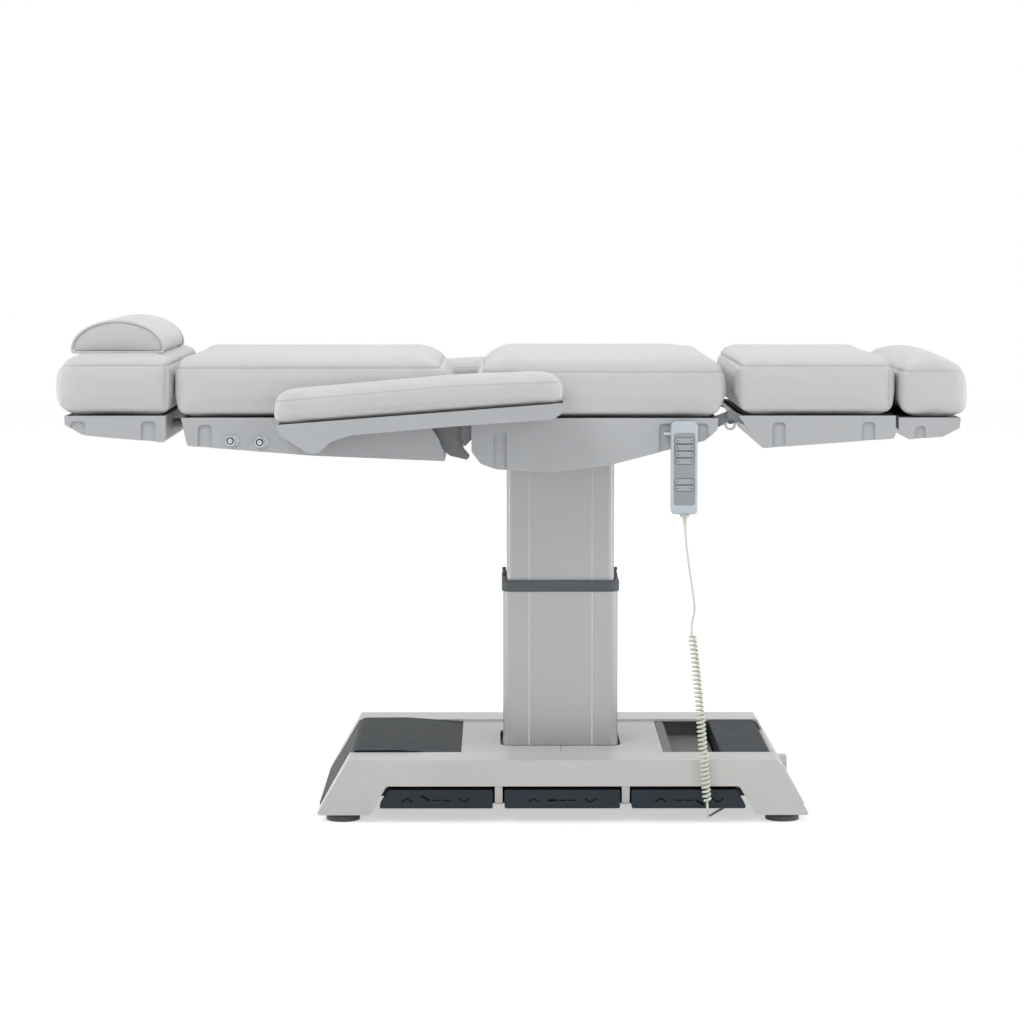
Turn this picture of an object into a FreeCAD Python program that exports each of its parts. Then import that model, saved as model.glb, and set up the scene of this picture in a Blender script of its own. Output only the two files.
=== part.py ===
"""Electric treatment chair, built piece by piece.

Sizes are in millimetres. +Z is up, the head end is at -X and the near side is -Y.
The origin is on the floor, under the middle of the whole chair.
"""
import math
import os

import FreeCAD
import Part

# Padded top
CUSHION_HALF_WIDTH = 300.0
COVER_HALF_WIDTH = 292.0
COVER_WALL = 3.5
BOTTOM_ROUND = 22.0
SIDE_ROUND = 34.0
CROWN_LIFT = 1.5
BOARD = 4.0
PIECE_GAP = 0.4

# Hinges of the top, as (x, z)
TILT_PIVOT = (105.0, 810.0)
BACK_HINGE = (-94.0, 889.0)
LEG_HINGE = (453.0, 845.0)
ARM_PIVOT = (-402.0, 822.0)
LINK_DROP = 32.0

# Pins and their running clearance on the radius
RUN_CLEAR = 0.05
HINGE_PIN_RADIUS = 6.0
HINGE_BOSS_RADIUS = 9.0
TILT_PIN_RADIUS = 12.5
ARM_PIN_RADIUS = 8.0
LINK_PIN_RADIUS = 5.0
YOKE_PIN_RADIUS = 6.0

# Side plates of the hinges, by distance from the middle plane
MOVING_PLATE = (262.0, 270.0)
SEAT_PLATE = (272.0, 280.0)

# Column
COLUMN_X = 105.0
OUTER_HALF = (122.5, 97.5)
OUTER_RADIUS = 20.0
OUTER_WALL = 5.0
OUTER_TOP = 456.0
COLLAR_HALF = (125.5, 100.5)
COLLAR_HEIGHT = 24.0
COLLAR_EAR = 18.0
INNER_HALF = (114.5, 89.5)
INNER_RADIUS = 16.0
INNER_WALL = 4.0
INNER_SPAN = (350.0, 765.0)
GROOVE = 3.0
COLUMN_FOOT = 30.0

# Base
BASE_HALF_WIDTH = 300.0
RAIL_WIDTH = 96.0
RAIL_TOP = 131.0
RAIL_FOOT = 17.0
RAIL_WALL = 5.0
DECK_TOP = 126.0
DECK_THICK = 4.0
FOOT_RADIUS = 35.0
PEDAL_HEIGHT = (31.0, 69.0)
PEDAL_DEPTH = 40.0
PEDAL_SLANT = 22.0
PEDAL_SPANS = ((-276.0, -39.0), (-15.0, 224.0), (248.0, 487.0))
PEDAL_PIN_RADIUS = 4.0
PEDAL_PIN_END = 288.0
FINGER_REACH = 80.0
FINGER_HALF = 5.0
FINGER_Z = (57.0, 64.0)
SWITCH_HALF = 8.0
SWITCH_DEEP = 12.0
SWITCH_Z = (38.0, 53.0)

# Handset
HANDSET_X = 354.0
HANDSET_HALF = 27.5
HANDSET_SPAN = (668.0, 834.0)
HANDSET_BACK = -295.5
HANDSET_DEPTH = 25.0
KEY_ROWS = (795.0, 780.5, 767.0, 752.5, 710.5, 697.0)
KEY_SIZE = (40.0, 11.7, 5.0)
KEY_PIN_RADIUS = 1.5
CORD_RADIUS = 2.5
COIL_RADIUS = 9.7

SIDES = (-1, 1)


def vec(x, y, z):
    return FreeCAD.Vector(x, y, z)


def box(x0, x1, y0, y1, z0, z1):
    """Block between two corners, given in any order across Y."""
    low = min(y0, y1)
    return Part.makeBox(x1 - x0, abs(y1 - y0), z1 - z0, vec(x0, low, z0))


def rod_x(y, z, radius, x0, x1):
    return Part.makeCylinder(radius, x1 - x0, vec(x0, y, z), vec(1, 0, 0))


def rod_y(x, z, radius, y0, y1):
    low = min(y0, y1)
    return Part.makeCylinder(radius, abs(y1 - y0), vec(x, low, z), vec(0, 1, 0))


def rod_z(x, y, radius, z0, z1):
    return Part.makeCylinder(radius, z1 - z0, vec(x, y, z0), vec(0, 0, 1))


def fuse(shapes):
    """One clean solid, or group of solids, from overlapping shapes."""
    whole = shapes[0]
    if len(shapes) > 1:
        whole = shapes[0].multiFuse(shapes[1:])
    return whole.removeSplitter()


def cut(shape, tools):
    return shape.cut(fuse(tools)) if len(tools) > 1 else shape.cut(tools[0])


def rounded_wire(points, place):
    """Closed wire through (a, b, corner radius) points, set in space by place(a, b)."""
    edges = []
    corners = [place(a, b) for a, b, _ in points]
    starts = []
    ends = []
    mids = []
    for i, (_, _, radius) in enumerate(points):
        here = corners[i]
        back = (corners[i - 1] - here).normalize()
        ahead = (corners[(i + 1) % len(points)] - here).normalize()
        if radius <= 0:
            starts.append(here)
            ends.append(here)
            mids.append(None)
            continue
        half = back.getAngle(ahead) / 2.0
        reach = radius / math.tan(half)
        toward = (back + ahead).normalize()
        starts.append(here + back * reach)
        ends.append(here + ahead * reach)
        mids.append(here + toward * (radius / math.sin(half) - radius))
    for i in range(len(points)):
        if mids[i] is not None:
            edges.append(Part.Arc(starts[i], mids[i], ends[i]).toShape())
        following = starts[(i + 1) % len(points)]
        if (following - ends[i]).Length > 1e-6:
            edges.append(Part.makeLine(ends[i], following))
    return Part.Wire(edges)


def side_face(points, y):
    return Part.Face(rounded_wire(points, lambda x, z: vec(x, y, z)))


def side_prism(points, y0, y1):
    """Solid with an outline of (x, z, radius) points, as seen from the side."""
    low = min(y0, y1)
    return side_face(points, low).extrude(vec(0, abs(y1 - y0), 0))


def end_prism(points, x0, x1):
    """Solid with an outline of (y, z, radius) points, as seen from the end."""
    face = Part.Face(rounded_wire(points, lambda y, z: vec(x0, y, z)))
    return face.extrude(vec(x1 - x0, 0, 0))


def plan_prism(points, z0, z1):
    """Solid with an outline of (x, y, radius) points, as seen from above."""
    face = Part.Face(rounded_wire(points, lambda x, y: vec(x, y, z0)))
    return face.extrude(vec(0, 0, z1 - z0))


def rectangle(x, half_x, half_y, radius):
    """Rounded rectangle of plan points, centred at x on the middle plane."""
    return [(x - half_x, -half_y, radius), (x + half_x, -half_y, radius),
            (x + half_x, half_y, radius), (x - half_x, half_y, radius)]


def tube_prism(half, radius, wall, z0, z1):
    """Upright rounded tube of the column."""
    outer = plan_prism(rectangle(COLUMN_X, half[0], half[1], radius), z0, z1)
    bore = plan_prism(rectangle(COLUMN_X, half[0] - wall, half[1] - wall, radius - wall), z0, z1)
    return outer.cut(bore)


def tray(points, half_width, wall, rise=40.0):
    """Open-topped shell: the outline's first and last points are its upper edge."""
    outer = side_prism(points, -half_width, half_width)
    first, last = points[0], points[-1]
    raised = [(first[0], first[1] + rise, 0)] + list(points) + [(last[0], last[1] + rise, 0)]
    hollow = side_face(raised, -half_width + wall).makeOffset2D(-wall)
    return outer.cut(hollow.extrude(vec(0, 2 * (half_width - wall), 0)))


def notched(shell, points, places, sides=SIDES):
    """Sink open-bottomed notches with rounded tops into a cover's sides.

    places holds (left, right, top) of each notch, as seen from the side.
    """
    body = [(x, z, 0) for x, z, _ in points]
    bottom = min(z for _, z, _ in points)
    bosses, notches = [], []
    for side in sides:
        for left, right, top in places:
            skin = side_prism(body, side * (COVER_HALF_WIDTH - NOTCH_DEPTH - NOTCH_WALL), side * (COVER_HALF_WIDTH - 1))
            rim = side_prism([(left - NOTCH_WALL, bottom - 9, 0), (right + NOTCH_WALL, bottom - 9, 0),
                              (right + NOTCH_WALL, top + NOTCH_WALL, 0), (left - NOTCH_WALL, top + NOTCH_WALL, 0)],
                             side * (COVER_HALF_WIDTH - NOTCH_DEPTH - NOTCH_WALL), side * (COVER_HALF_WIDTH - 1))
            bosses.append(rim.common(skin))
            notches.append(side_prism([(left, bottom - 9, 0), (right, bottom - 9, 0), (right, top, NOTCH_ROUND),
                                       (left, top, NOTCH_ROUND)],
                                      side * (COVER_HALF_WIDTH - NOTCH_DEPTH), side * (COVER_HALF_WIDTH + 1)))
    return cut(fuse([shell] + bosses), notches)


def cushion(points):
    """Padded block: a side outline crossed with a rounded section."""
    base = min(z for _, z, _ in points)
    top = max(z for _, z, _ in points)
    length = side_prism(points, -CUSHION_HALF_WIDTH, CUSHION_HALF_WIDTH)
    half = CUSHION_HALF_WIDTH
    section = [(-half, base, BOTTOM_ROUND / 2), (half, base, BOTTOM_ROUND / 2),
               (half, top + CROWN_LIFT, SIDE_ROUND), (-half, top + CROWN_LIFT, SIDE_ROUND)]
    first = min(x for x, _, _ in points)
    last = max(x for x, _, _ in points)
    return length.common(end_prism(section, first, last))


def strip(path, thick):
    """Bent sheet profile: a path of (x, z, bend radius) points with its thickness on the left."""
    shifted = []
    last = len(path) - 1
    for i, (x, z, radius) in enumerate(path):
        before = path[max(i - 1, 0)]
        after = path[min(i + 1, last)]
        into = FreeCAD.Vector(x - before[0], z - before[1], 0)
        out = FreeCAD.Vector(after[0] - x, after[1] - z, 0)
        into = out if i == 0 else into
        out = into if i == last else out
        into.normalize()
        out.normalize()
        side = FreeCAD.Vector(-into.y - out.y, into.x + out.x, 0).normalize()
        spread = thick / side.dot(FreeCAD.Vector(-into.y, into.x, 0))
        turn = into.x * out.y - into.y * out.x
        inner = radius - thick if turn > 0 else radius + thick
        shifted.append((x + side.x * spread, z + side.y * spread, inner if radius > 0 else 0))
    return list(path) + shifted[::-1]


# Base

RAIL_OUTLINE = [(-339.0, RAIL_TOP, 6.0), (551.0, RAIL_TOP, 6.0), (616.0, RAIL_FOOT, 3.0),
                (506.0, RAIL_FOOT, 3.0), (471.0, 77.0, 8.0), (-259.0, 77.0, 8.0),
                (-294.0, RAIL_FOOT, 3.0), (-404.0, RAIL_FOOT, 3.0)]
RAIL_INNER_Y = BASE_HALF_WIDTH - RAIL_WIDTH
FOOT_PLACES = (-351.0, 564.0)
FOOT_Y = 250.0
FOOT_STEM = 6.0
FOOT_DISC = 12.0
DECK_SPAN = (-106.0, 320.0)
DECK_SEAM = 1.0
COLUMN_SLOT = 6.0
BEAMS = ((-240.0, -200.0, 77.0 + RAIL_WALL, DECK_TOP - DECK_THICK),
         (512.0, 552.0, RAIL_FOOT + RAIL_WALL, 54.0))
WEB_THICK = 10.0
WEB_Y = OUTER_HALF[1] + 3.0
WEB_SPAN = (-300.0, 552.0)
POST_SPANS = ((-252.0, -247.5), (-35.0, -19.0), (228.0, 244.0), (459.0, 463.5))
BACK_PLATE_Y = 236.0
BACK_PLATE_FRONT = 240.0
INLET_BODY = (572.0, 604.0, 60.0, 92.0, 44.0, 74.0)
INLET_SOCKET = (588.0, 606.0, 64.0, 88.0, 49.0, 69.0)
BOX_SPAN = (440.0, 545.0)
BOX_FLOOR = 60.0


def side_rail(side):
    """Channel rail with two sloped legs and two dividers between its pedals, open toward the middle of the base."""
    outer = side_prism(RAIL_OUTLINE, side * RAIL_INNER_Y, side * BASE_HALF_WIDTH)
    inset = side_face(RAIL_OUTLINE, 0).makeOffset2D(-RAIL_WALL)
    depth = RAIL_WIDTH - RAIL_WALL
    inset.translate(vec(0, RAIL_INNER_Y if side > 0 else -RAIL_INNER_Y - depth, 0))
    channel = outer.cut(inset.extrude(vec(0, depth, 0)))
    dividers = [end_prism([(side * BACK_PLATE_FRONT, 30, 0), (side * 292, 38, 9),
                           (side * 298, 79, 0), (side * BACK_PLATE_FRONT, 79, 0)], x0, x1)
                for x0, x1 in POST_SPANS[1:3]]
    stems = [rod_z(x, side * FOOT_Y, FOOT_STEM, 0, RAIL_FOOT + 2 * RAIL_WALL) for x in FOOT_PLACES]
    return cut(fuse([channel] + dividers), stems)


def levelling_feet():
    feet = []
    for x in FOOT_PLACES:
        for side in SIDES:
            disc = rod_z(x, side * FOOT_Y, FOOT_RADIUS, 0, FOOT_DISC)
            disc = disc.makeChamfer(2.5, [disc.Edges[0]]) if disc.Edges[0].Length > 100 else disc
            stem = rod_z(x, side * FOOT_Y, FOOT_STEM, FOOT_DISC, RAIL_FOOT + 3 * RAIL_WALL)
            nut = rod_z(x, side * FOOT_Y, 2 * FOOT_STEM, FOOT_DISC, RAIL_FOOT)
            feet.append(fuse([disc, stem, nut]))
    return Part.makeCompound(feet)


def base_frame():
    """Two deep webs beside the column, its seat plate, and beams out into the rails."""
    deck_under = DECK_TOP - DECK_THICK
    parts = [box(COLUMN_X - 200, COLUMN_X + 200, -WEB_Y - WEB_THICK, WEB_Y + WEB_THICK, 20, COLUMN_FOOT)]
    for side in SIDES:
        parts.append(box(WEB_SPAN[0], WEB_SPAN[1], side * WEB_Y, side * (WEB_Y + WEB_THICK), 20, deck_under))
        for x0, x1, low, high in BEAMS:
            parts.append(box(x0, x1, side * WEB_Y, side * (BASE_HALF_WIDTH - RAIL_WALL), low, high))
    for x in (WEB_SPAN[0], COLUMN_X - OUTER_HALF[0] - WEB_THICK, COLUMN_X + OUTER_HALF[0]):
        parts.append(box(x, x + WEB_THICK, -WEB_Y, WEB_Y, 20, 110))
    frame = fuse(parts)
    under_box = box(DECK_SPAN[1], BEAMS[1][1] + 1, -RAIL_INNER_Y, RAIL_INNER_Y, BOX_FLOOR - DECK_THICK, 200)
    return frame.cut(under_box)


def deck(x0, x1):
    """Half of the floor deck, with a clear slot round the column."""
    plate = box(x0, x1, -RAIL_INNER_Y, RAIL_INNER_Y, DECK_TOP - DECK_THICK, DECK_TOP)
    slot = rectangle(COLUMN_X, OUTER_HALF[0] + COLUMN_SLOT, OUTER_HALF[1] + COLUMN_SLOT,
                     OUTER_RADIUS + COLUMN_SLOT)
    return plate.cut(plan_prism(slot, 0, 2 * DECK_TOP))


def left_end_cover():
    """Bowed cover over the left end, with a slanted face down to the floor."""
    under = DECK_TOP - DECK_THICK
    path = [(-400.0, 20.0, 0), (-330.0, 131.0, 16.0), (-230.0, 131.5, 300.0), (DECK_SPAN[0] - DECK_SEAM, under, 0)]
    profile = strip([(x, z, r) for x, z, r in path], DECK_THICK)
    return side_prism(profile, -RAIL_INNER_Y, RAIL_INNER_Y)


def right_end_cover():
    """Trough behind the deck, a well for the control box, and the sloped end with its mains inlet."""
    under = DECK_TOP - DECK_THICK
    floor = BOX_FLOOR - DECK_THICK
    path = [(DECK_SPAN[1] + DECK_SEAM, under, 0), (336.0, under, 0), (344.0, 92.0, 0), (432.0, 92.0, 0),
            (436.0, floor, 0), (550.0, floor, 0), (553.0, 124.0, 8.0), (612.0, 20.0, 0)]
    cover = side_prism(strip(path, DECK_THICK), -RAIL_INNER_Y, RAIL_INNER_Y)
    return fuse([cover, box(*INLET_BODY)]).cut(box(*INLET_SOCKET))


def control_box():
    outline = [(BOX_SPAN[0], BOX_FLOOR, 2.0), (BOX_SPAN[1], BOX_FLOOR, 2.0),
               (BOX_SPAN[1], 130.0, 6.0), (BOX_SPAN[0], 130.0, 6.0)]
    return side_prism(outline, -RAIL_INNER_Y + 2, RAIL_INNER_Y - 2)


def pedal_pin_z():
    return (PEDAL_HEIGHT[0] + PEDAL_HEIGHT[1]) / 2.0


def pedal_middle(span):
    return (span[0] + span[1]) / 2.0


def pedal_mounts():
    """Both sides' backing plates, with a pivot pin behind each pedal and a switch under each of its fingers."""
    groups = []
    for side in SIDES:
        parts = [box(POST_SPANS[0][0], POST_SPANS[-1][1], side * BACK_PLATE_Y, side * BACK_PLATE_FRONT, 30, 77)]
        for x0, x1 in (POST_SPANS[0], POST_SPANS[3]):
            parts.append(box(x0, x1, side * BACK_PLATE_Y, side * (BASE_HALF_WIDTH - PEDAL_DEPTH - 1.5), 38, 72))
        for span in PEDAL_SPANS:
            middle = pedal_middle(span)
            parts.append(rod_y(middle, pedal_pin_z(), PEDAL_PIN_RADIUS, side * BACK_PLATE_Y, side * PEDAL_PIN_END))
            for way in SIDES:
                x = middle + way * FINGER_REACH
                parts.append(box(x - SWITCH_HALF, x + SWITCH_HALF, side * BACK_PLATE_Y,
                                 side * (BACK_PLATE_FRONT + SWITCH_DEEP), *SWITCH_Z))
        groups.append(fuse(parts))
    return Part.makeCompound(groups)


def pedal(span, side, use):
    """Foot pedal: a wide bar that rocks on a pin behind its middle, with a finger over each of its two switches."""
    x0, x1 = span
    low, high = PEDAL_HEIGHT
    front = BASE_HALF_WIDTH
    back = front - PEDAL_DEPTH
    left = PEDAL_SLANT if use == "back" else 0
    right = PEDAL_SLANT if use == "leg" else 0
    bar = side_prism([(x0, low, 4), (x1, low, 4), (x1 - right, high, 4), (x0 + left, high, 4)],
                     side * back, side * front)
    middle = pedal_middle(span)
    parts = [bar, rod_y(middle, pedal_pin_z(), PEDAL_PIN_RADIUS + 6, side * (BACK_PLATE_FRONT + 1), side * (back + 1))]
    for way in SIDES:
        x = middle + way * FINGER_REACH
        parts.append(box(x - FINGER_HALF, x + FINGER_HALF, side * (BACK_PLATE_FRONT + 4), side * (back + 1), *FINGER_Z))
    bore = rod_y(middle, pedal_pin_z(), PEDAL_PIN_RADIUS + RUN_CLEAR, side * BACK_PLATE_FRONT,
                 side * (PEDAL_PIN_END + 0.5))
    return fuse(parts).cut(bore)


# Column

def column_outer_tube():
    tube = tube_prism(OUTER_HALF, OUTER_RADIUS, OUTER_WALL, COLUMN_FOOT, OUTER_TOP)
    grooves = []
    for x in (COLUMN_X - 67.0, COLUMN_X + 67.0):
        for side in SIDES:
            grooves.append(box(x - GROOVE / 2, x + GROOVE / 2, side * (OUTER_HALF[1] - GROOVE),
                               side * (OUTER_HALF[1] + 1), DECK_TOP, OUTER_TOP + 1))
    return cut(tube, grooves)


def column_collar():
    """Guide collar on the tube's mouth, its upper edge raised at the four corners."""
    top = OUTER_TOP + COLLAR_HEIGHT
    outer = plan_prism(rectangle(COLUMN_X, COLLAR_HALF[0], COLLAR_HALF[1], OUTER_RADIUS + 2),
                       OUTER_TOP, top + COLLAR_EAR)
    bore = plan_prism(rectangle(COLUMN_X, INNER_HALF[0] + PIECE_GAP, INNER_HALF[1] + PIECE_GAP,
                                INNER_RADIUS), 0, 2 * OUTER_TOP)
    dips = []
    for half_x, half_y in ((COLLAR_HALF[0] - 26, 200.0), (200.0, COLLAR_HALF[1] - 26)):
        dips.append(box(COLUMN_X - half_x, COLUMN_X + half_x, -half_y, half_y, top, top + 2 * COLLAR_EAR))
    return cut(outer.cut(bore), dips)


def column_inner_tube():
    tube = tube_prism(INNER_HALF, INNER_RADIUS, INNER_WALL, INNER_SPAN[0], INNER_SPAN[1])
    grooves = []
    for x in (COLUMN_X - 67.0, COLUMN_X + 67.0):
        for side in SIDES:
            grooves.append(box(x - GROOVE / 2, x + GROOVE / 2, side * (INNER_HALF[1] - GROOVE + 1),
                               side * (INNER_HALF[1] + 1), INNER_SPAN[0] - 1, INNER_SPAN[1] + 1))
    return cut(tube, grooves)


SPINDLE_RADIUS = 20.0
SPINDLE_TOP = 480.0
MOTOR_TOP = 140.0


def lift_spindle():
    """Lift motor on the seat plate, and the guide tube that the lift rod runs in."""
    motor = rod_z(COLUMN_X, 0, 62.0, COLUMN_FOOT, MOTOR_TOP)
    tube = rod_z(COLUMN_X, 0, SPINDLE_RADIUS + 8, MOTOR_TOP, OUTER_TOP)
    bore = rod_z(COLUMN_X, 0, SPINDLE_RADIUS + RUN_CLEAR, MOTOR_TOP + 8, SPINDLE_TOP)
    return fuse([motor, tube]).cut(bore)


HEAD_PLATE = 10.0
TILT_LUG = (56.0, 68.0)
TILT_CLEVIS = (250.0, 765.0)
TILT_CLEVIS_Y = -60.0
CLEVIS_RADIUS = 10.0


def column_head():
    """Plate in the tube's mouth with the tilt lugs and pin, the lift rod and the actuator arm."""
    top = INNER_SPAN[1]
    x, z = TILT_PIVOT
    plate = plan_prism(rectangle(COLUMN_X, INNER_HALF[0], INNER_HALF[1], INNER_RADIUS), top, top + HEAD_PLATE)
    parts = [plate, rod_z(COLUMN_X, 0, SPINDLE_RADIUS, OUTER_TOP - 6, top)]
    for side in SIDES:
        low, high = TILT_LUG
        parts.append(side_prism([(x - 40, top, 0), (x + 40, top, 0), (x + 17, z + 17, 14), (x - 17, z + 17, 14)],
                                side * low, side * high))
    parts.append(rod_y(x, z, TILT_PIN_RADIUS, -SEAT_RAIL_Y[1], SEAT_RAIL_Y[1]))
    cx, cz = TILT_CLEVIS
    arm = [(x - 20, top, 0), (x + 78, top, 0), (x + 92, z - 8, 10), (cx - 10, z - 8, 0), (cx - 10, cz, 0),
           (cx + 10, cz, 0), (cx + 10, z + 12, 14), (x - 20, z + 16, 10)]
    for y0 in (TILT_CLEVIS_Y - 16, TILT_CLEVIS_Y + 8):
        parts.append(side_prism(arm, y0, y0 + 8))
        parts.append(rod_y(cx, cz, CLEVIS_RADIUS, y0, y0 + 8))
    parts.append(rod_y(cx, cz, HINGE_PIN_RADIUS, TILT_CLEVIS_Y - 16, TILT_CLEVIS_Y + 16))
    return fuse(parts)


# Padded top: outlines seen from the side, as (x, z, corner radius)

HEAD_CUSHION = [(-944.0, 844.0, BOTTOM_ROUND), (-697.5, 844.0, BOTTOM_ROUND),
                (-697.5, 968.0, 26.0), (-944.0, 968.0, 34.0)]
BACK_CUSHION = [(-696.0, 840.0, BOTTOM_ROUND), (-117.0, 840.0, BOTTOM_ROUND),
                (-117.0, 968.0, 85.0), (-696.0, 968.0, 26.0)]
SEAT_CUSHION = [(-80.0, 839.0, BOTTOM_ROUND), (424.0, 839.0, BOTTOM_ROUND), (448.0, 905.0, 30.0),
                (432.0, 950.0, 30.0), (345.0, 970.0, 90.0), (-80.0, 970.0, 80.0)]
LEG_CUSHION = [(461.0, 844.0, BOTTOM_ROUND), (792.5, 844.0, BOTTOM_ROUND),
               (792.5, 968.0, 26.0), (461.0, 968.0, 30.0)]
FOOT_CUSHION = [(795.0, 840.0, BOTTOM_ROUND), (944.0, 840.0, BOTTOM_ROUND),
                (940.0, 948.0, 40.0), (868.0, 970.0, 80.0), (797.0, 958.0, 30.0)]
HEAD_COVER = [(-920.0, 844.0, 0), (-919.0, 825.7, 0), (-886.0, 805.4, 6.0), (-872.0, 803.0, 8.0),
              (-712.0, 789.0, 6.0), (-712.0, 844.0, 0)]
BACK_COVER = [(-680.0, 840.0, 0), (-668.0, 782.0, 8.0), (-412.0, 762.0, 0), (-138.0, 750.5, 0),
              (-141.0, 770.0, 20.0), (-150.0, 795.0, 0), (-164.0, 817.0, 0), (-170.0, 840.0, 0)]
SEAT_COVER = [(-83.0, 839.0, 0), (-83.0, 770.0, 14.0), (-64.0, 745.0, 14.0), (-30.0, 732.6, 30.0),
              (88.0, 727.5, 90.0), (205.0, 743.0, 90.0), (327.0, 774.4, 60.0), (398.0, 792.0, 18.0),
              (424.0, 815.6, 10.0), (425.0, 839.0, 0)]
LEG_COVER = [(467.0, 844.0, 0), (516.0, 777.0, 9.0), (785.6, 796.6, 6.0), (790.5, 804.0, 5.0), (790.5, 844.0, 0)]
FOOT_COVER = [(797.0, 840.0, 0), (798.0, 815.0, 3.0), (817.0, 795.0, 5.0), (887.5, 800.7, 8.0),
              (922.5, 818.7, 8.0), (924.6, 840.0, 0)]
NOTCH_DEPTH = 7.0
NOTCH_WALL = 2.5
NOTCH_ROUND = 9.0
HEAD_NOTCHES = ((-908.2, -876.4, 833.0), (-762.6, -732.5, 833.0))
BACK_NOTCHES = ((-645.8, -617.0, 826.0),)
SEAT_NOTCHES = ((-37.7, -10.3, 810.5),)
LEG_NOTCHES = ((536.5, 563.8, 831.0), (720.8, 748.3, 831.0))
FOOT_NOTCHES = ((830.3, 852.2, 823.0),)
PILLOW_X = (-914.0, -728.0)
PILLOW_Z = (968.2, 1035.0)
PILLOW_HALF_WIDTH = 195.0

# Steel frames of the top
TUBE = 30.0
SEAT_RAIL_Y = (117.5, 142.5)
SEAT_RAIL_Z = (795.0, 835.0)
SEAT_RAIL_X = (-78.0, 385.0)
BACK_TUBE_Y = (MOVING_PLATE[0] - TUBE, MOVING_PLATE[0])
FRAME_Z = (805.0, 835.0)
BOARD_HALF_WIDTH = 284.0
GUIDE_RADIUS = 13.0
ROD_RADIUS = 10.0
ROD_Y = 150.0
ROD_Z = 820.0
ACTUATOR_BODY = 25.0
ACTUATOR_ROD = 10.0
YOKE_NECK = 26.0
YOKE_THICK = 14.0
YOKE_LUG = 6.0
YOKE_SIDE_GAP = 1.0

# Back and leg yokes: lever pin (x, z), middle plane y, lowest pin height, travel of the rod
BACK_YOKE = {"pin": (-37.0, 807.0), "y": -180.0, "low": 789.0, "travel": -115.0, "body": (70.0, 250.0)}
LEG_YOKE = {"pin": (485.8, 806.0), "y": 170.0, "low": 794.0, "travel": -65.6, "body": (90.0, 300.0)}


def board(cushion_points, x0, x1):
    """Steel board that the cushion is screwed to."""
    base = min(z for _, z, _ in cushion_points)
    return box(x0, x1, -BOARD_HALF_WIDTH, BOARD_HALF_WIDTH, base - BOARD, base)


def pillow():
    """Half-round roll with flat ends."""
    x0, x1 = PILLOW_X
    low, high = PILLOW_Z
    middle = (x0 + x1) / 2.0
    half = (x1 - x0) / 2.0
    crown = Part.Arc(vec(x1, 0, low + 12), vec(middle, 0, high), vec(x0, 0, low + 12)).toShape()
    side0 = Part.makeLine(vec(x0, 0, low + 12), vec(x0 + 8, 0, low))
    bottom = Part.makeLine(vec(x0 + 8, 0, low), vec(x1 - 8, 0, low))
    side1 = Part.makeLine(vec(x1 - 8, 0, low), vec(x1, 0, low + 12))
    face = Part.Face(Part.Wire([crown, side0, bottom, side1]))
    face.translate(vec(0, -PILLOW_HALF_WIDTH, 0))
    return face.extrude(vec(0, 2 * PILLOW_HALF_WIDTH, 0))


def slot_box(yoke, x0, x1, z0, z1, extra=4.0):
    """Room for a yoke's rod, eye and lugs."""
    half = YOKE_THICK / 2 + YOKE_SIDE_GAP + YOKE_LUG + extra
    return box(x0, x1, yoke["y"] - half, yoke["y"] + half, z0, z1)


def yoke_rod(yoke):
    """Actuator rod whose upright slot takes up the rise and fall of the lever pin."""
    px, pz = yoke["pin"]
    middle = (pz + yoke["low"]) / 2.0
    bore = YOKE_PIN_RADIUS + 1.6
    reach = (pz - yoke["low"]) / 2.0
    half = bore + 4.5
    y0 = yoke["y"] - YOKE_THICK / 2
    eye = side_prism([(px - half, middle - reach - half, half * 0.9), (px + half, middle - reach - half, half * 0.9),
                      (px + half, middle + reach + half, half * 0.9), (px - half, middle + reach + half, half * 0.9)],
                     y0, y0 + YOKE_THICK)
    slot = side_prism([(px - bore, middle - reach - bore, bore * 0.98), (px + bore, middle - reach - bore, bore * 0.98),
                       (px + bore, middle + reach + bore, bore * 0.98), (px - bore, middle + reach + bore, bore * 0.98)],
                      y0 - 1, y0 + YOKE_THICK + 1)
    start, end = yoke["body"]
    if px < start:
        stem = rod_x(yoke["y"], middle, ACTUATOR_ROD, px + YOKE_NECK, end - 20)
        neck = box(px + bore, px + YOKE_NECK + 1, y0, y0 + YOKE_THICK, middle - 7, middle + 7)
    else:
        stem = rod_x(yoke["y"], middle, ACTUATOR_ROD, start + 20 - yoke["travel"], px - YOKE_NECK)
        neck = box(px - YOKE_NECK - 1, px - bore, y0, y0 + YOKE_THICK, middle - 7, middle + 7)
    return fuse([eye, neck, stem]).cut(slot)


def yoke_lugs(yoke, outline):
    """Pair of lever plates on either side of the rod's eye, joined by the lever pin."""
    px, pz = yoke["pin"]
    inner = YOKE_THICK / 2 + YOKE_SIDE_GAP
    parts = []
    for side in SIDES:
        y0 = yoke["y"] + side * inner
        parts.append(side_prism(outline, y0, y0 + side * YOKE_LUG))
        parts.append(rod_y(px, pz, YOKE_PIN_RADIUS + 4, y0, y0 + side * YOKE_LUG))
    parts.append(rod_y(px, pz, YOKE_PIN_RADIUS, yoke["y"] - inner - YOKE_LUG, yoke["y"] + inner + YOKE_LUG))
    return parts


def yoke_body(yoke):
    """Actuator housing fixed under the seat, bored for its rod."""
    px, pz = yoke["pin"]
    middle = (pz + yoke["low"]) / 2.0
    start, end = yoke["body"]
    body = rod_x(yoke["y"], middle, ACTUATOR_BODY, start, end)
    rail = math.copysign(SEAT_RAIL_Y[1], yoke["y"])
    foot = box(start + 30, end - 30, yoke["y"], rail, middle - 12, middle + 12)
    bore = rod_x(yoke["y"], middle, ACTUATOR_ROD + RUN_CLEAR, start - 1 if px < start else start + 12,
                 end - 12 if px < start else end + 1)
    return fuse([body, foot]).cut(bore)


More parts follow.
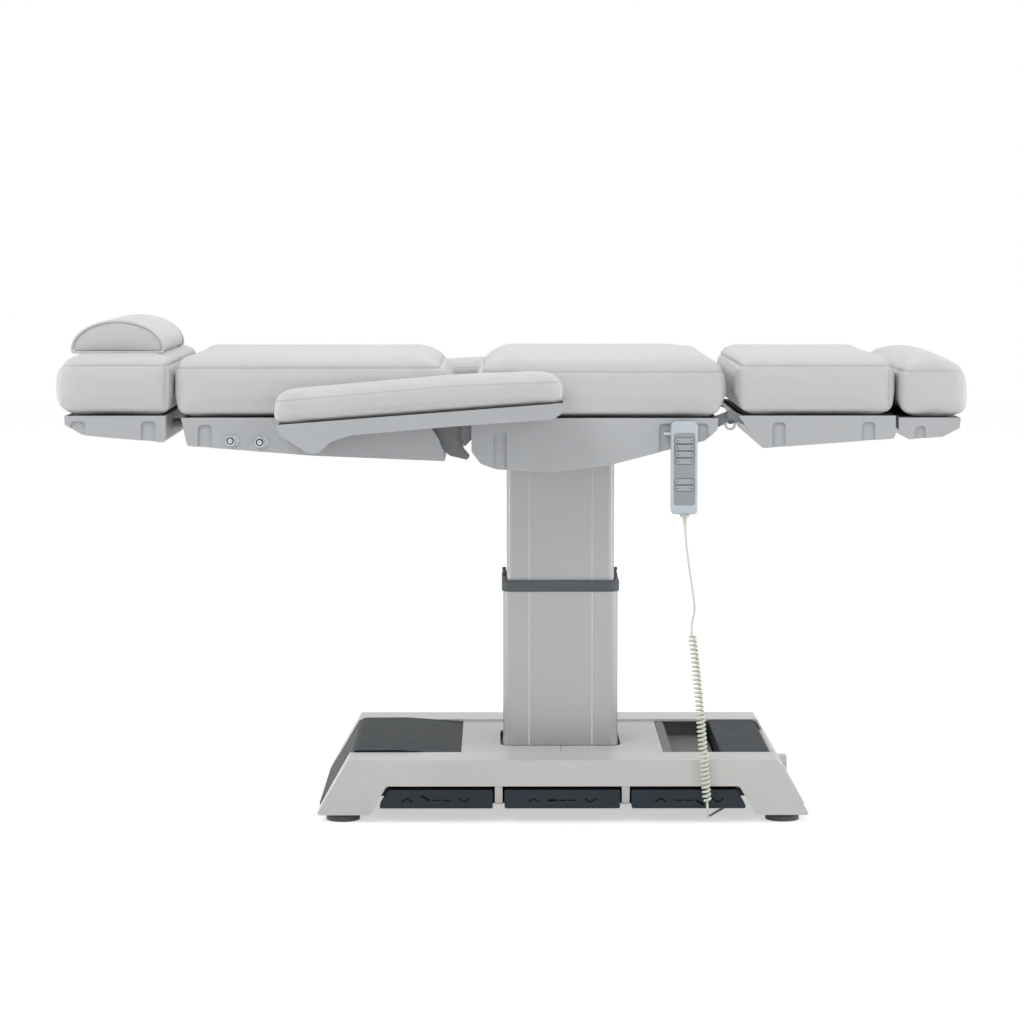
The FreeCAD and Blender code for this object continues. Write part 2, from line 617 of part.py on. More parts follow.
def hinge_boss(hinge, plate, side, radius):
    return rod_y(hinge[0], hinge[1], radius, side * plate[0], side * plate[1])


def seat_frame():
    """Two rails on the tilt pin, cross bars, the board, and plates for the back and leg hinges."""
    x0, x1 = SEAT_RAIL_X
    low, high = SEAT_RAIL_Z
    parts = [board(SEAT_CUSHION, x0 + 2, 412.0)]
    parts.append(box(x0, x0 + TUBE, -MOVING_PLATE[1] - 1, MOVING_PLATE[1] + 1, low, high))
    for side in SIDES:
        parts.append(box(x0, x1, side * SEAT_RAIL_Y[0], side * SEAT_RAIL_Y[1], low, high))
        parts.append(rod_y(TILT_PIVOT[0], TILT_PIVOT[1], 22.0, side * SEAT_RAIL_Y[0], side * SEAT_RAIL_Y[1]))
        parts.append(box(x1, x1 + 27, side * 100.0, side * SEAT_PLATE[0], 816.0, high))
        back_plate = [(x0 + TUBE, 835, 0), (x0 + TUBE, low + 2, 0), (-80.0, low + 2, 0), (-98.0, 778.0, 3),
                      (-104.0, 800.0, 0), (-104.0, 889.0, 0), (-85.0, 889.0, 0), (-85.0, 835, 0)]
        parts.append(side_prism(back_plate, side * MOVING_PLATE[1] + side * 1, side * SEAT_PLATE[1]))
        parts.append(hinge_boss(BACK_HINGE, (MOVING_PLATE[1] + 1, SEAT_PLATE[1]), side, HINGE_BOSS_RADIUS + 1))
        parts.append(rod_y(BACK_HINGE[0], BACK_HINGE[1], HINGE_PIN_RADIUS, side * (MOVING_PLATE[0] - 2),
                           side * SEAT_PLATE[1]))
        lug = [(x1 + 10, 816.0, 0), (x1 + 40, 818.0, 0), (459.0, 838.5, 0), (449.0, 853.0, 0), (x1 + 18, high, 0),
               (x1 + 10, high, 0)]
        parts.append(side_prism(lug, side * MOVING_PLATE[0], side * MOVING_PLATE[1]))
        parts.append(hinge_boss(LEG_HINGE, MOVING_PLATE, side, HINGE_BOSS_RADIUS))
        parts.append(rod_y(LEG_HINGE[0], LEG_HINGE[1], HINGE_PIN_RADIUS - 1, side * MOVING_PLATE[0],
                           side * SEAT_PLATE[1]))
        link_z = BACK_HINGE[1] - LINK_DROP
        parts.append(rod_y(BACK_HINGE[0], link_z, LINK_PIN_RADIUS, side * SEAT_PLATE[0], side * 312.0))
    lugs = []
    bx, bz = TILT_ROD_PIN
    for y0 in (TILT_CLEVIS_Y - 15, TILT_CLEVIS_Y + 9):
        lugs.append(side_prism([(bx - 10, bz, 0), (bx + 10, bz, 0), (bx + 14, 835.5, 0), (bx - 14, 835.5, 0)],
                               y0, y0 + 6))
        lugs.append(rod_y(bx, bz, 10.0, y0, y0 + 6))
    lugs.append(rod_y(bx, bz, LINK_PIN_RADIUS, TILT_CLEVIS_Y - 15, TILT_CLEVIS_Y + 15))
    frame = fuse(parts + lugs)
    tools = [rod_y(TILT_PIVOT[0], TILT_PIVOT[1], TILT_PIN_RADIUS + RUN_CLEAR, -200, 200),
             slot_box(BACK_YOKE, x0 - 30, x0 + TUBE + 1, 700.0, 835.0),
             slot_box(LEG_YOKE, x1 - 1, x1 + 60, 760.0, 835.0)]
    return cut(frame, tools)


TILT_ROD_PIN = (380.0, 815.0)


def seat_cover():
    """Belly shell, open round the column and where the actuators and hinge plates pass."""
    shell = notched(tray(SEAT_COVER, COVER_HALF_WIDTH, COVER_WALL), SEAT_COVER, SEAT_NOTCHES)
    shell = notched(shell, SEAT_COVER, (RECESS,), (-1,))
    tools = [box(-75.0, 240.0, -112.0, 112.0, 700.0, 800.0),
             box(200.0, 400.0, TILT_CLEVIS_Y - 36, TILT_CLEVIS_Y + 36, 700.0, 812.0),
             slot_box(BACK_YOKE, -90.0, -60.0, 752.0, 900.0),
             slot_box(LEG_YOKE, 330.0, 430.0, 700.0, 900.0)]
    for side in SIDES:
        tools.append(box(-90.0, -70.0, side * (MOVING_PLATE[0] - 2), side * (SEAT_PLATE[1] + 0.5), 777.0, 900.0))
        tools.append(box(410.0, 430.0, side * (MOVING_PLATE[0] - 0.5), side * (MOVING_PLATE[1] + 0.5), 812.0, 900.0))
    return cut(shell, tools)


def back_frame():
    """Tube frame with hinge arms, arm pins, the lever and the guide tubes of the headrest."""
    low, high = FRAME_Z
    parts = [board(BACK_CUSHION, -664.0, -174.0)]
    for x in (-655.0, -435.0, -204.0):
        parts.append(box(x, x + TUBE, -BACK_TUBE_Y[0], BACK_TUBE_Y[0], low, high + 1))
    arm = [(-205.0, 836.0, 0), (-205.0, 806.0, 0), (-158.0, 806.0, 0), (-148.0, 778.0, 14.0),
           (-128.0, 760.0, 12.0), (-92.0, 751.5, 4.0), (-86.0, 760.0, 3.0), (-99.0, 776.0, 8.0),
           (-103.0, 800.0, 0), (-86.0, 840.0, 10.0), (-85.5, 889.0, 0), (-102.5, 889.0, 0),
           (-104.0, 846.0, 10.0), (-112.0, 836.0, 0)]
    for side in SIDES:
        parts.append(box(-655.0, -174.0, side * BACK_TUBE_Y[0], side * BACK_TUBE_Y[1], low, high + 1))
        parts.append(side_prism(arm, side * MOVING_PLATE[0], side * MOVING_PLATE[1]))
        parts.append(hinge_boss(BACK_HINGE, MOVING_PLATE, side, HINGE_BOSS_RADIUS))
        parts.append(rod_y(ARM_PIVOT[0], ARM_PIVOT[1], ARM_PIN_RADIUS, side * BACK_TUBE_Y[1], side * 346.0))
        parts.append(rod_x(side * ROD_Y, ROD_Z, GUIDE_RADIUS, -664.0, -420.0))
    px, pz = BACK_YOKE["pin"]
    lever = [(-190.0, 806.0, 0), (px - 6, pz - 10, 0), (px + 8, pz, 0), (px, 828.0, 8.0), (-60.0, 833.0, 0), (-190.0, 834.0, 0)]
    parts += yoke_lugs(BACK_YOKE, lever)
    frame = fuse(parts)
    tools = [rod_y(BACK_HINGE[0], BACK_HINGE[1], HINGE_PIN_RADIUS + RUN_CLEAR, -300, 300)]
    for side in SIDES:
        tools.append(rod_x(side * ROD_Y, ROD_Z, ROD_RADIUS + RUN_CLEAR, -700.0, -400.0))
    return cut(frame, tools)


def back_cover():
    shell = notched(tray(BACK_COVER, COVER_HALF_WIDTH, COVER_WALL), BACK_COVER, BACK_NOTCHES)
    tools = []
    for side in SIDES:
        tools.append(rod_x(side * ROD_Y, ROD_Z, ROD_RADIUS + 3, -700.0, -660.0))
        tools.append(rod_y(ARM_PIVOT[0], ARM_PIVOT[1], ARM_PIN_RADIUS, side * 270, side * 320))
        tools.append(box(-175.0, -130.0, side * (MOVING_PLATE[0] - 0.5), side * (MOVING_PLATE[1] + 0.5), 745.0, 900.0))
    tools.append(slot_box(BACK_YOKE, -175.0, -130.0, 795.0, 900.0, 1.0))
    return cut(shell, tools)


def slide_frame(cushion_points, x0, x1, rod0, rod1):
    """Board, two ribs and two rods of a section that slides out along the chair."""
    base = min(z for _, z, _ in cushion_points) - BOARD
    parts = [board(cushion_points, x0, x1)]
    for side in SIDES:
        parts.append(box(rod0, x1, side * (ROD_Y - 9), side * (ROD_Y + 9), ROD_Z - 4, base + 1))
        parts.append(rod_x(side * ROD_Y, ROD_Z, ROD_RADIUS, rod0, rod1))
    return fuse(parts)


def head_frame():
    return slide_frame(HEAD_CUSHION, -905.0, -717.0, -875.0, -470.0)


def head_cover():
    shell = notched(tray(HEAD_COVER, COVER_HALF_WIDTH, COVER_WALL), HEAD_COVER, HEAD_NOTCHES)
    holes = [rod_x(side * ROD_Y, ROD_Z, ROD_RADIUS, -730.0, -700.0) for side in SIDES]
    return cut(shell, holes)


def leg_frame():
    """Frame of the leg section: hinge arms, lever and the guide tubes of the footrest."""
    low, high = FRAME_Z[0] + 5, FRAME_Z[1] + 5
    parts = [board(LEG_CUSHION, 486.0, 784.0)]
    for x in (512.0, 754.0):
        parts.append(box(x, x + TUBE - 4, -MOVING_PLATE[0], MOVING_PLATE[0], low, high + 1))
    for side in SIDES:
        parts.append(box(512.0, 780.0, side * (SEAT_PLATE[0] - TUBE), side * SEAT_PLATE[0], low, high + 1))
        parts.append(side_prism([(545.0, low, 0), (545.0, 841.0, 0), (484.0, 841.0, 0), (455.0, 853.8, 0),
                                 (449.5, 836.8, 0), (496.0, 818.0, 0)],
                                side * (MOVING_PLATE[1] + 1), side * SEAT_PLATE[1]))
        parts.append(hinge_boss(LEG_HINGE, (MOVING_PLATE[1] + 1, SEAT_PLATE[1]), side, HINGE_BOSS_RADIUS))
        parts.append(rod_x(side * ROD_Y, ROD_Z + 1, GUIDE_RADIUS, 520.0, 784.0))
    px, pz = LEG_YOKE["pin"]
    lever = [(px - 8, pz + 4, 0), (px + 2, pz - 9, 0), (525.0, 811.0, 0), (525.0, 840.0, 0), (490.0, 840.5, 0)]
    parts += yoke_lugs(LEG_YOKE, lever)
    frame = fuse(parts)
    tools = [rod_y(LEG_HINGE[0], LEG_HINGE[1], HINGE_PIN_RADIUS - 1 + RUN_CLEAR, -300, 300)]
    for side in SIDES:
        tools.append(rod_x(side * ROD_Y, ROD_Z + 1, ROD_RADIUS + RUN_CLEAR, 505.0, 800.0))
    return cut(frame, tools)


def leg_cover():
    shell = notched(tray(LEG_COVER, COVER_HALF_WIDTH, COVER_WALL), LEG_COVER, LEG_NOTCHES)
    tools = [slot_box(LEG_YOKE, 460.0, 509.0, 780.0, 900.0, 1.0)]
    for side in SIDES:
        tools.append(rod_x(side * ROD_Y, ROD_Z + 1, ROD_RADIUS + 3, 783.0, 800.0))
        tools.append(box(460.0, 508.0, side * (MOVING_PLATE[1] + 0.5), side * (SEAT_PLATE[1] + 0.5), 800.0, 900.0))
    return cut(shell, tools)


def foot_frame():
    base = min(z for _, z, _ in FOOT_CUSHION) - BOARD
    parts = [board(FOOT_CUSHION, 801.0, 918.0)]
    for side in SIDES:
        parts.append(box(808.0, 893.0, side * (ROD_Y - 9), side * (ROD_Y + 9), ROD_Z - 3, base + 1))
        parts.append(rod_x(side * ROD_Y, ROD_Z + 1, ROD_RADIUS, 560.0, 893.0))
    return fuse(parts)


def foot_cover():
    shell = notched(tray(FOOT_COVER, COVER_HALF_WIDTH, COVER_WALL), FOOT_COVER, FOOT_NOTCHES)
    holes = [rod_x(side * ROD_Y, ROD_Z + 1, ROD_RADIUS, 790.0, 808.0) for side in SIDES]
    return cut(shell, holes)


KNOB_PLACES = ((-578.5, 793.0), (-518.0, 790.0))


def head_lock_knobs():
    """Two chrome push knobs in the near side of the back cover, each with a collar and a stem."""
    knobs = []
    for x, z in KNOB_PLACES:
        collar = rod_y(x + 8, z, 11.0, -COVER_HALF_WIDTH - 3, -COVER_HALF_WIDTH)
        ring = rod_y(x, z, 11.0, -COVER_HALF_WIDTH - 9, -COVER_HALF_WIDTH)
        knobs.append(fuse([collar, ring]))
    return Part.makeCompound(knobs)


# Armrests

ARM_Y = (322.0, 418.0)
ARM_WALL = 4.0
ARM_PAD = [(-484.0, 833.0, 18.0), (104.0, 878.0, 18.0), (110.0, 939.0, 28.0),
           (-115.0, 930.5, 300.0), (-478.0, 899.0, 30.0)]
ARM_SHELL = [(-476.0, 833.6, 0), (-468.0, 813.0, 8.0), (-412.0, 777.0, 10.0), (-390.0, 777.0, 10.0),
             (-366.0, 799.0, 12.0), (-326.0, 813.0, 20.0), (-115.0, 831.0, 60.0), (84.0, 845.0, 30.0),
             (112.0, 866.0, 6.0), (108.0, 878.3, 0)]
LINK_Y = (304.0, 312.0)
LINK_HALF = 7.0


def arm_pad(side):
    """Long pad, its section rounded like the cushions."""
    length = side_prism(ARM_PAD, side * ARM_Y[0], side * ARM_Y[1])
    base = min(z for _, z, _ in ARM_PAD)
    slope = end_prism([(side * ARM_Y[0], base - 10, 0), (side * ARM_Y[1], base - 10, 0),
                       (side * ARM_Y[1], ARM_PAD[2][1] + 2, 16.0), (side * ARM_Y[0], ARM_PAD[2][1] + 2, 16.0)],
                      ARM_PAD[0][0], ARM_PAD[2][0])
    return length.common(slope)


def arm_shell(side):
    """Hollow shell under the pad, with the pivot bearing and the link pin in its hump."""
    outer = side_prism(ARM_SHELL, side * ARM_Y[0], side * ARM_Y[1])
    first, last = ARM_SHELL[0], ARM_SHELL[-1]
    raised = [(first[0], first[1] + 40, 0)] + ARM_SHELL + [(last[0], last[1] + 40, 0)]
    low = min(side * (ARM_Y[0] + ARM_WALL), side * (ARM_Y[1] - ARM_WALL))
    hollow = side_face(raised, low).makeOffset2D(-ARM_WALL)
    shell = outer.cut(hollow.extrude(vec(0, ARM_Y[1] - ARM_Y[0] - 2 * ARM_WALL, 0)))
    x, z = ARM_PIVOT
    boss = rod_y(x, z, ARM_PIN_RADIUS + 5, side * ARM_Y[0], side * (ARM_Y[0] + 26))
    pin = rod_y(x, z - LINK_DROP, LINK_PIN_RADIUS, side * LINK_Y[0], side * (ARM_Y[0] + ARM_WALL))
    bore = rod_y(x, z, ARM_PIN_RADIUS + RUN_CLEAR, side * (ARM_Y[0] - 1), side * (ARM_Y[0] + 27))
    return fuse([shell, boss, pin]).cut(bore)


def arm_link(side):
    """Link that keeps the armrest level, bent to stay behind the shell."""
    x0, z0 = ARM_PIVOT[0], ARM_PIVOT[1] - LINK_DROP
    x1, z1 = BACK_HINGE[0], BACK_HINGE[1] - LINK_DROP
    low, high = side * LINK_Y[0], side * LINK_Y[1]
    path = [(x0, z0 - LINK_HALF, 0), (-345.0, 836.0 - LINK_HALF, 10.0), (x1, z1 - LINK_HALF, 0),
            (x1, z1 + LINK_HALF, 0), (-350.0, 836.0 + LINK_HALF, 10.0), (x0, z0 + LINK_HALF, 0)]
    bar = side_prism(path, low, high)
    parts = [bar]
    for x, z in ((x0, z0), (x1, z1)):
        parts.append(rod_y(x, z, LINK_PIN_RADIUS + 5, low, high))
    bores = [rod_y(x, z, LINK_PIN_RADIUS + RUN_CLEAR, low - 1, high + 1) if side > 0
             else rod_y(x, z, LINK_PIN_RADIUS + RUN_CLEAR, high - 1, low + 1) for x, z in ((x0, z0), (x1, z1))]
    return cut(fuse(parts), bores)


# Tilt actuator, drawn along +X from its pivot and then turned

TILT_ROD = 6.5
EYE_THICK = 14.0
EYE_SLACK = 5.3


def along_tilt(shape):
    """Turn a shape drawn along +X onto the line from the clevis to the rod's pin."""
    ax, az = TILT_CLEVIS
    bx, bz = TILT_ROD_PIN
    angle = math.degrees(math.atan2(bz - az, bx - ax))
    shape.rotate(vec(0, 0, 0), vec(0, -1, 0), angle)
    shape.translate(vec(ax, TILT_CLEVIS_Y, az))
    return shape


def tilt_length():
    return math.hypot(TILT_ROD_PIN[0] - TILT_CLEVIS[0], TILT_ROD_PIN[1] - TILT_CLEVIS[1])


def tilt_actuator():
    half = EYE_THICK / 2
    eye = rod_y(0, 0, CLEVIS_RADIUS, -half, half)
    neck = box(0, 48, -half, half, -8, 8)
    body = rod_x(0, 0, 16.0, 46.0, tilt_length() - 21)
    bore = rod_x(0, 0, TILT_ROD + RUN_CLEAR, 50.0, tilt_length())
    hole = rod_y(0, 0, HINGE_PIN_RADIUS + RUN_CLEAR, -half - 1, half + 1)
    return along_tilt(cut(fuse([eye, neck, body]), [bore, hole]))


def tilt_actuator_rod():
    half = EYE_THICK / 2
    end = tilt_length()
    stem = rod_x(0, 0, TILT_ROD, 52.0, end - 8)
    eye = rod_y(end, 0, LINK_PIN_RADIUS + EYE_SLACK + 3.5, -half, half)
    hole = rod_y(end, 0, LINK_PIN_RADIUS + EYE_SLACK, -half - 1, half + 1)
    return along_tilt(fuse([stem, eye]).cut(hole))


# Handset and cord

HOOK_Z = 808.0
HOOK_RADIUS = 4.0
HOOK_Y = -302.0
HOOK_SPAN = (316.0, 374.0)
RECESS = (303.0, 405.0, 828.0)


def handset_hook():
    """Chrome bar with both ends bent back into the cover."""
    left, right = HOOK_SPAN
    root = NOTCH_DEPTH - COVER_HALF_WIDTH
    bar = rod_x(HOOK_Y, HOOK_Z, HOOK_RADIUS, left - HOOK_RADIUS, right + HOOK_RADIUS)
    arms = [rod_y(x, HOOK_Z, HOOK_RADIUS - 0.8, HOOK_Y, root) for x in HOOK_SPAN]
    return fuse([bar] + arms)


def key_outline(z, grow):
    half_x = KEY_SIZE[0] / 2 + grow
    half_z = KEY_SIZE[1] / 2 + grow
    round_end = half_z * 0.98
    return [(HANDSET_X - half_x, z - half_z, round_end), (HANDSET_X + half_x, z - half_z, round_end),
            (HANDSET_X + half_x, z + half_z, round_end), (HANDSET_X - half_x, z + half_z, round_end)]


def handset_front():
    return HANDSET_BACK - HANDSET_DEPTH


def handset_shell():
    """Rounded housing with a neck, a groove for the hook, and a pocket and pin for each key."""
    low, high = HANDSET_SPAN
    front = handset_front()
    outline = [(HANDSET_X - 24, low - 12, 14), (HANDSET_X + 24, low - 12, 14),
               (HANDSET_X + HANDSET_HALF, high, 14), (HANDSET_X - HANDSET_HALF, high, 14)]
    body = side_prism(outline, front, HANDSET_BACK)
    neck = rod_z(HANDSET_X + 2, HANDSET_BACK - HANDSET_DEPTH / 2, 8.0, 641.0, low)
    groove = box(HANDSET_X - HANDSET_HALF - 1, HANDSET_X + 26, HOOK_Y - HOOK_RADIUS - 1, HANDSET_BACK + 1,
                 HOOK_Z - 25, HOOK_Z + HOOK_RADIUS)
    pockets = [side_prism(key_outline(z, PIECE_GAP), front - 1, front + 5.1) for z in KEY_ROWS]
    shell = cut(fuse([body, neck]), [groove] + pockets)
    pins = [rod_z(HANDSET_X, front + 1.6, KEY_PIN_RADIUS, z - 7, z + 7) for z in KEY_ROWS]
    return fuse([shell] + pins)


def handset_key(z):
    front = handset_front()
    pill = side_prism(key_outline(z, 0), front - 2.5, front + 3.5)
    bore = rod_z(HANDSET_X, front + 1.6, KEY_PIN_RADIUS + RUN_CLEAR, z - 8, z + 8)
    return pill.cut(bore)


UPPER_ROUTE = [(356.0, -308.0, 640.9), (357.0, -308.0, 596.0), (364.0, -310.0, 540.0), (371.0, -312.0, 492.0),
               (378.0, -314.0, 446.0), (368.5, -316.0, 413.0), (370.5, -316.0, 396.3)]
COIL_ROUTE = [(370.5, -316.0, 396.0), (376.6, -316.0, 353.0), (384.0, -316.0, 278.0), (389.5, -316.0, 216.0),
              (394.0, -316.0, 156.0), (399.0, -316.0, 96.0), (403.0, -316.0, 46.2)]
TAIL_ROUTE = [(403.0, -316.0, 45.8), (404.5, -316.0, 16.0), (410.0, -272.0, 8.0), (430.0, -222.0, 8.5),
              (453.0, -178.0, 10.0), (468.0, -150.0, 26.0), (468.0, -150.0, 56.0)]


def cord(points, radius, name):
    """Straight runs joined by tangent arcs, as a cord hangs."""
    nodes = [vec(*p) for p in points]
    parts = []
    cursor = nodes[0]
    for i in range(1, len(nodes) - 1):
        back = nodes[i - 1] - nodes[i]
        ahead = nodes[i + 1] - nodes[i]
        half = back.getAngle(ahead) / 2.0
        reach = 0.45 * min(back.Length, ahead.Length)
        bend = reach * math.tan(half)
        back.normalize()
        ahead.normalize()
        start = nodes[i] + back * reach
        middle = nodes[i] + (back + ahead).normalize() * (bend / math.sin(half))
        parts.append(Part.makeCylinder(radius, (start - cursor).Length, cursor, start - cursor))
        disc = Part.Face(Part.Wire([Part.makeCircle(radius, start, back)]))
        axis = ahead.cross(back)
        parts.append(disc.revolve(middle, axis, 180.0 - math.degrees(2 * half)))
        cursor = nodes[i] + ahead * reach
        print(name, "bend radius", round(bend, 1))
    parts.append(Part.makeCylinder(radius, (nodes[-1] - cursor).Length, cursor, nodes[-1] - cursor))
    return fuse(parts)


# Every piece by its node name

def pieces():
    """Name and shape of every node."""
    shapes = {
        "base_frame": base_frame(),
        "near_side_rail": side_rail(-1),
        "far_side_rail": side_rail(1),
        "floor_deck": Part.makeCompound([deck(DECK_SPAN[0], COLUMN_X - DECK_SEAM / 2),
                                         deck(COLUMN_X + DECK_SEAM / 2, DECK_SPAN[1])]),
        "left_end_cover": left_end_cover(),
        "right_end_cover": right_end_cover(),
        "control_box": control_box(),
        "levelling_feet": levelling_feet(),
        "column_outer_tube": column_outer_tube(),
        "column_collar": column_collar(),
        "lift_spindle": lift_spindle(),
        "pedal_mounts": pedal_mounts(),
        "column_inner_tube": column_inner_tube(),
        "column_head": column_head(),
        "seat_frame": seat_frame(),
        "seat_cushion": cushion(SEAT_CUSHION),
        "seat_cover": seat_cover(),
        "handset_hook": handset_hook(),
        "handset_shell": handset_shell(),
        "back_actuator": yoke_body(BACK_YOKE),
        "leg_actuator": yoke_body(LEG_YOKE),
        "back_actuator_rod": yoke_rod(BACK_YOKE),
        "leg_actuator_rod": yoke_rod(LEG_YOKE),
        "tilt_actuator": tilt_actuator(),
        "tilt_actuator_rod": tilt_actuator_rod(),
        "cord_upper": cord(UPPER_ROUTE, CORD_RADIUS, "upper"),
        "cord_coil": cord(COIL_ROUTE, COIL_RADIUS, "coil"),
        "cord_tail": cord(TAIL_ROUTE, CORD_RADIUS, "tail"),
        "back_frame": back_frame(),
        "back_cushion": cushion(BACK_CUSHION),
        "back_cover": back_cover(),
        "head_lock_knobs": head_lock_knobs(),
        "head_frame": head_frame(),
        "head_cushion": cushion(HEAD_CUSHION),
        "head_cover": head_cover(),
        "pillow": pillow(),
        "leg_frame": leg_frame(),
        "leg_cushion": cushion(LEG_CUSHION),
        "leg_cover": leg_cover(),
        "foot_frame": foot_frame(),
        "foot_cushion": cushion(FOOT_CUSHION),
        "foot_cover": foot_cover(),
    }
    for side, place in ((-1, "near"), (1, "far")):
        shapes[place + "_arm_pad"] = arm_pad(side)
        shapes[place + "_arm_shell"] = arm_shell(side)
        shapes[place + "_arm_link"] = arm_link(side)
        for span, use in zip(PEDAL_SPANS, ("back", "seat", "leg")):
            shapes[place + "_pedal_" + use] = pedal(span, side, use)
    for row, z in enumerate(KEY_ROWS, start=1):
        shapes["handset_key_%d" % row] = handset_key(z)
    return shapes


def main():
    os.makedirs("parts", exist_ok=True)
    for name, shape in pieces().items():
        shape.exportStep("parts/" + name + ".step")


if __name__ == "__main__":
    main()
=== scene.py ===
"""Looks of the electric treatment chair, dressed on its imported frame.

The chair lies along X with its head end at -X, and its near side faces -Y. Lengths are in metres.
"""

import logging
import math
from dataclasses import dataclass
from enum import Enum

import bmesh
import bpy
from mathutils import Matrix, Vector
from mathutils.bvhtree import BVHTree


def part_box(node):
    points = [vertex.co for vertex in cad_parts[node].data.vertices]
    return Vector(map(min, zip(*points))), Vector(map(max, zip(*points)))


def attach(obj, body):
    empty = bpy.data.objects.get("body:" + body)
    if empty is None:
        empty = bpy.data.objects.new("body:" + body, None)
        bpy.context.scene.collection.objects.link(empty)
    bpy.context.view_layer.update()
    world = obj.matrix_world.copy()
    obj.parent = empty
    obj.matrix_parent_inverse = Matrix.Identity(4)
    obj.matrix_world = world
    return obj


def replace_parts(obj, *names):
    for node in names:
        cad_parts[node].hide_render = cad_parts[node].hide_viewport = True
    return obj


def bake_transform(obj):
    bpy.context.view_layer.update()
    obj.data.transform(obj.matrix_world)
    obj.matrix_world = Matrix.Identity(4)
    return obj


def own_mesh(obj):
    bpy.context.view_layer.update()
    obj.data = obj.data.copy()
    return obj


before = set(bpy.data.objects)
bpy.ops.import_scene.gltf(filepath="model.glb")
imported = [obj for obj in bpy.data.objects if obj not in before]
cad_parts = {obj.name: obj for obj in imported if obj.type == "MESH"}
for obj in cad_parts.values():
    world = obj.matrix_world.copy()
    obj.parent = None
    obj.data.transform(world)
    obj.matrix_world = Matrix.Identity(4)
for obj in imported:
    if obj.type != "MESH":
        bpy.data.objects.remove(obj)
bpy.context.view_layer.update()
LOG = logging.getLogger("treatment_chair")

Point = tuple[float, float]
Corner = tuple[float, float, float]
Colour = tuple[float, float, float]
Place = tuple[float, float, float]

QUARTER = math.pi / 2
MM = 0.001
MIX_FIRST, MIX_SECOND, MIX_RESULT = 6, 7, 2
RIGHT, UP = Vector((1, 0, 0)), Vector((0, 0, 1))

# A stitch's spacing, its distance from the seam, its half length and its thickness.
STITCH_PITCH, STITCH_GAP, STITCH_HALF, STITCH_THICK = 0.008, 0.0055, 0.0026, 0.0006
# How far out the ray that finds a stitch's place starts.
STITCH_CAST = 0.6

# The open trough of the right end cover: its half width and where it ends. The faces inside it take
# a dark grey, painted shade.
TROUGH_HALF, TROUGH_END = 0.206, 0.485


class Signal:
    """A number that varies over a surface, kept as a shader socket that takes arithmetic."""

    def __init__(self, shader: "Shader", socket: bpy.types.NodeSocket) -> None:
        """Hold the socket.

        Args:
            shader: The finish that the socket belongs to.
            socket: The output that carries the number.
        """
        self.shader = shader
        self.socket = socket

    def _with(self, operation: str, first: object, second: object) -> "Signal":
        """Return a Math node's result for two values, either of which may be a Signal."""
        node = self.shader.node("ShaderNodeMath", {"operation": operation}, {0: first, 1: second})
        return Signal(self.shader, node.outputs[0])

    def __add__(self, other: object) -> "Signal":
        """Return self + other."""
        return self._with("ADD", self, other)

    __radd__ = __add__

    def __sub__(self, other: object) -> "Signal":
        """Return self - other."""
        return self._with("SUBTRACT", self, other)

    def __rsub__(self, other: object) -> "Signal":
        """Return other - self."""
        return self._with("SUBTRACT", other, self)

    def __mul__(self, other: object) -> "Signal":
        """Return self * other."""
        return self._with("MULTIPLY", self, other)

    __rmul__ = __mul__

    def __truediv__(self, other: object) -> "Signal":
        """Return self / other."""
        return self._with("DIVIDE", self, other)

    def __rtruediv__(self, other: object) -> "Signal":
        """Return other / self."""
        return self._with("DIVIDE", other, self)

    def lower(self, other: object) -> "Signal":
        """Return the smaller of the two."""
        return self._with("MINIMUM", self, other)

    def higher(self, other: object) -> "Signal":
        """Return the larger of the two."""
        return self._with("MAXIMUM", self, other)

    def near(self, reach: float, edge: float) -> "Signal":
        """Return 1 within a reach of zero, falling to 0 at the edge."""
        return 1.0 - (self * self).between(reach ** 2, edge ** 2)

    def between(self, low: float, high: float) -> "Signal":
        """Return the signal stretched so that low becomes 0 and high becomes 1, and held there."""
        node = self.shader.node("ShaderNodeMapRange", {"interpolation_type": "SMOOTHSTEP"},
                                {"Value": self, "From Min": low, "From Max": high})
        return Signal(self.shader, node.outputs[0])


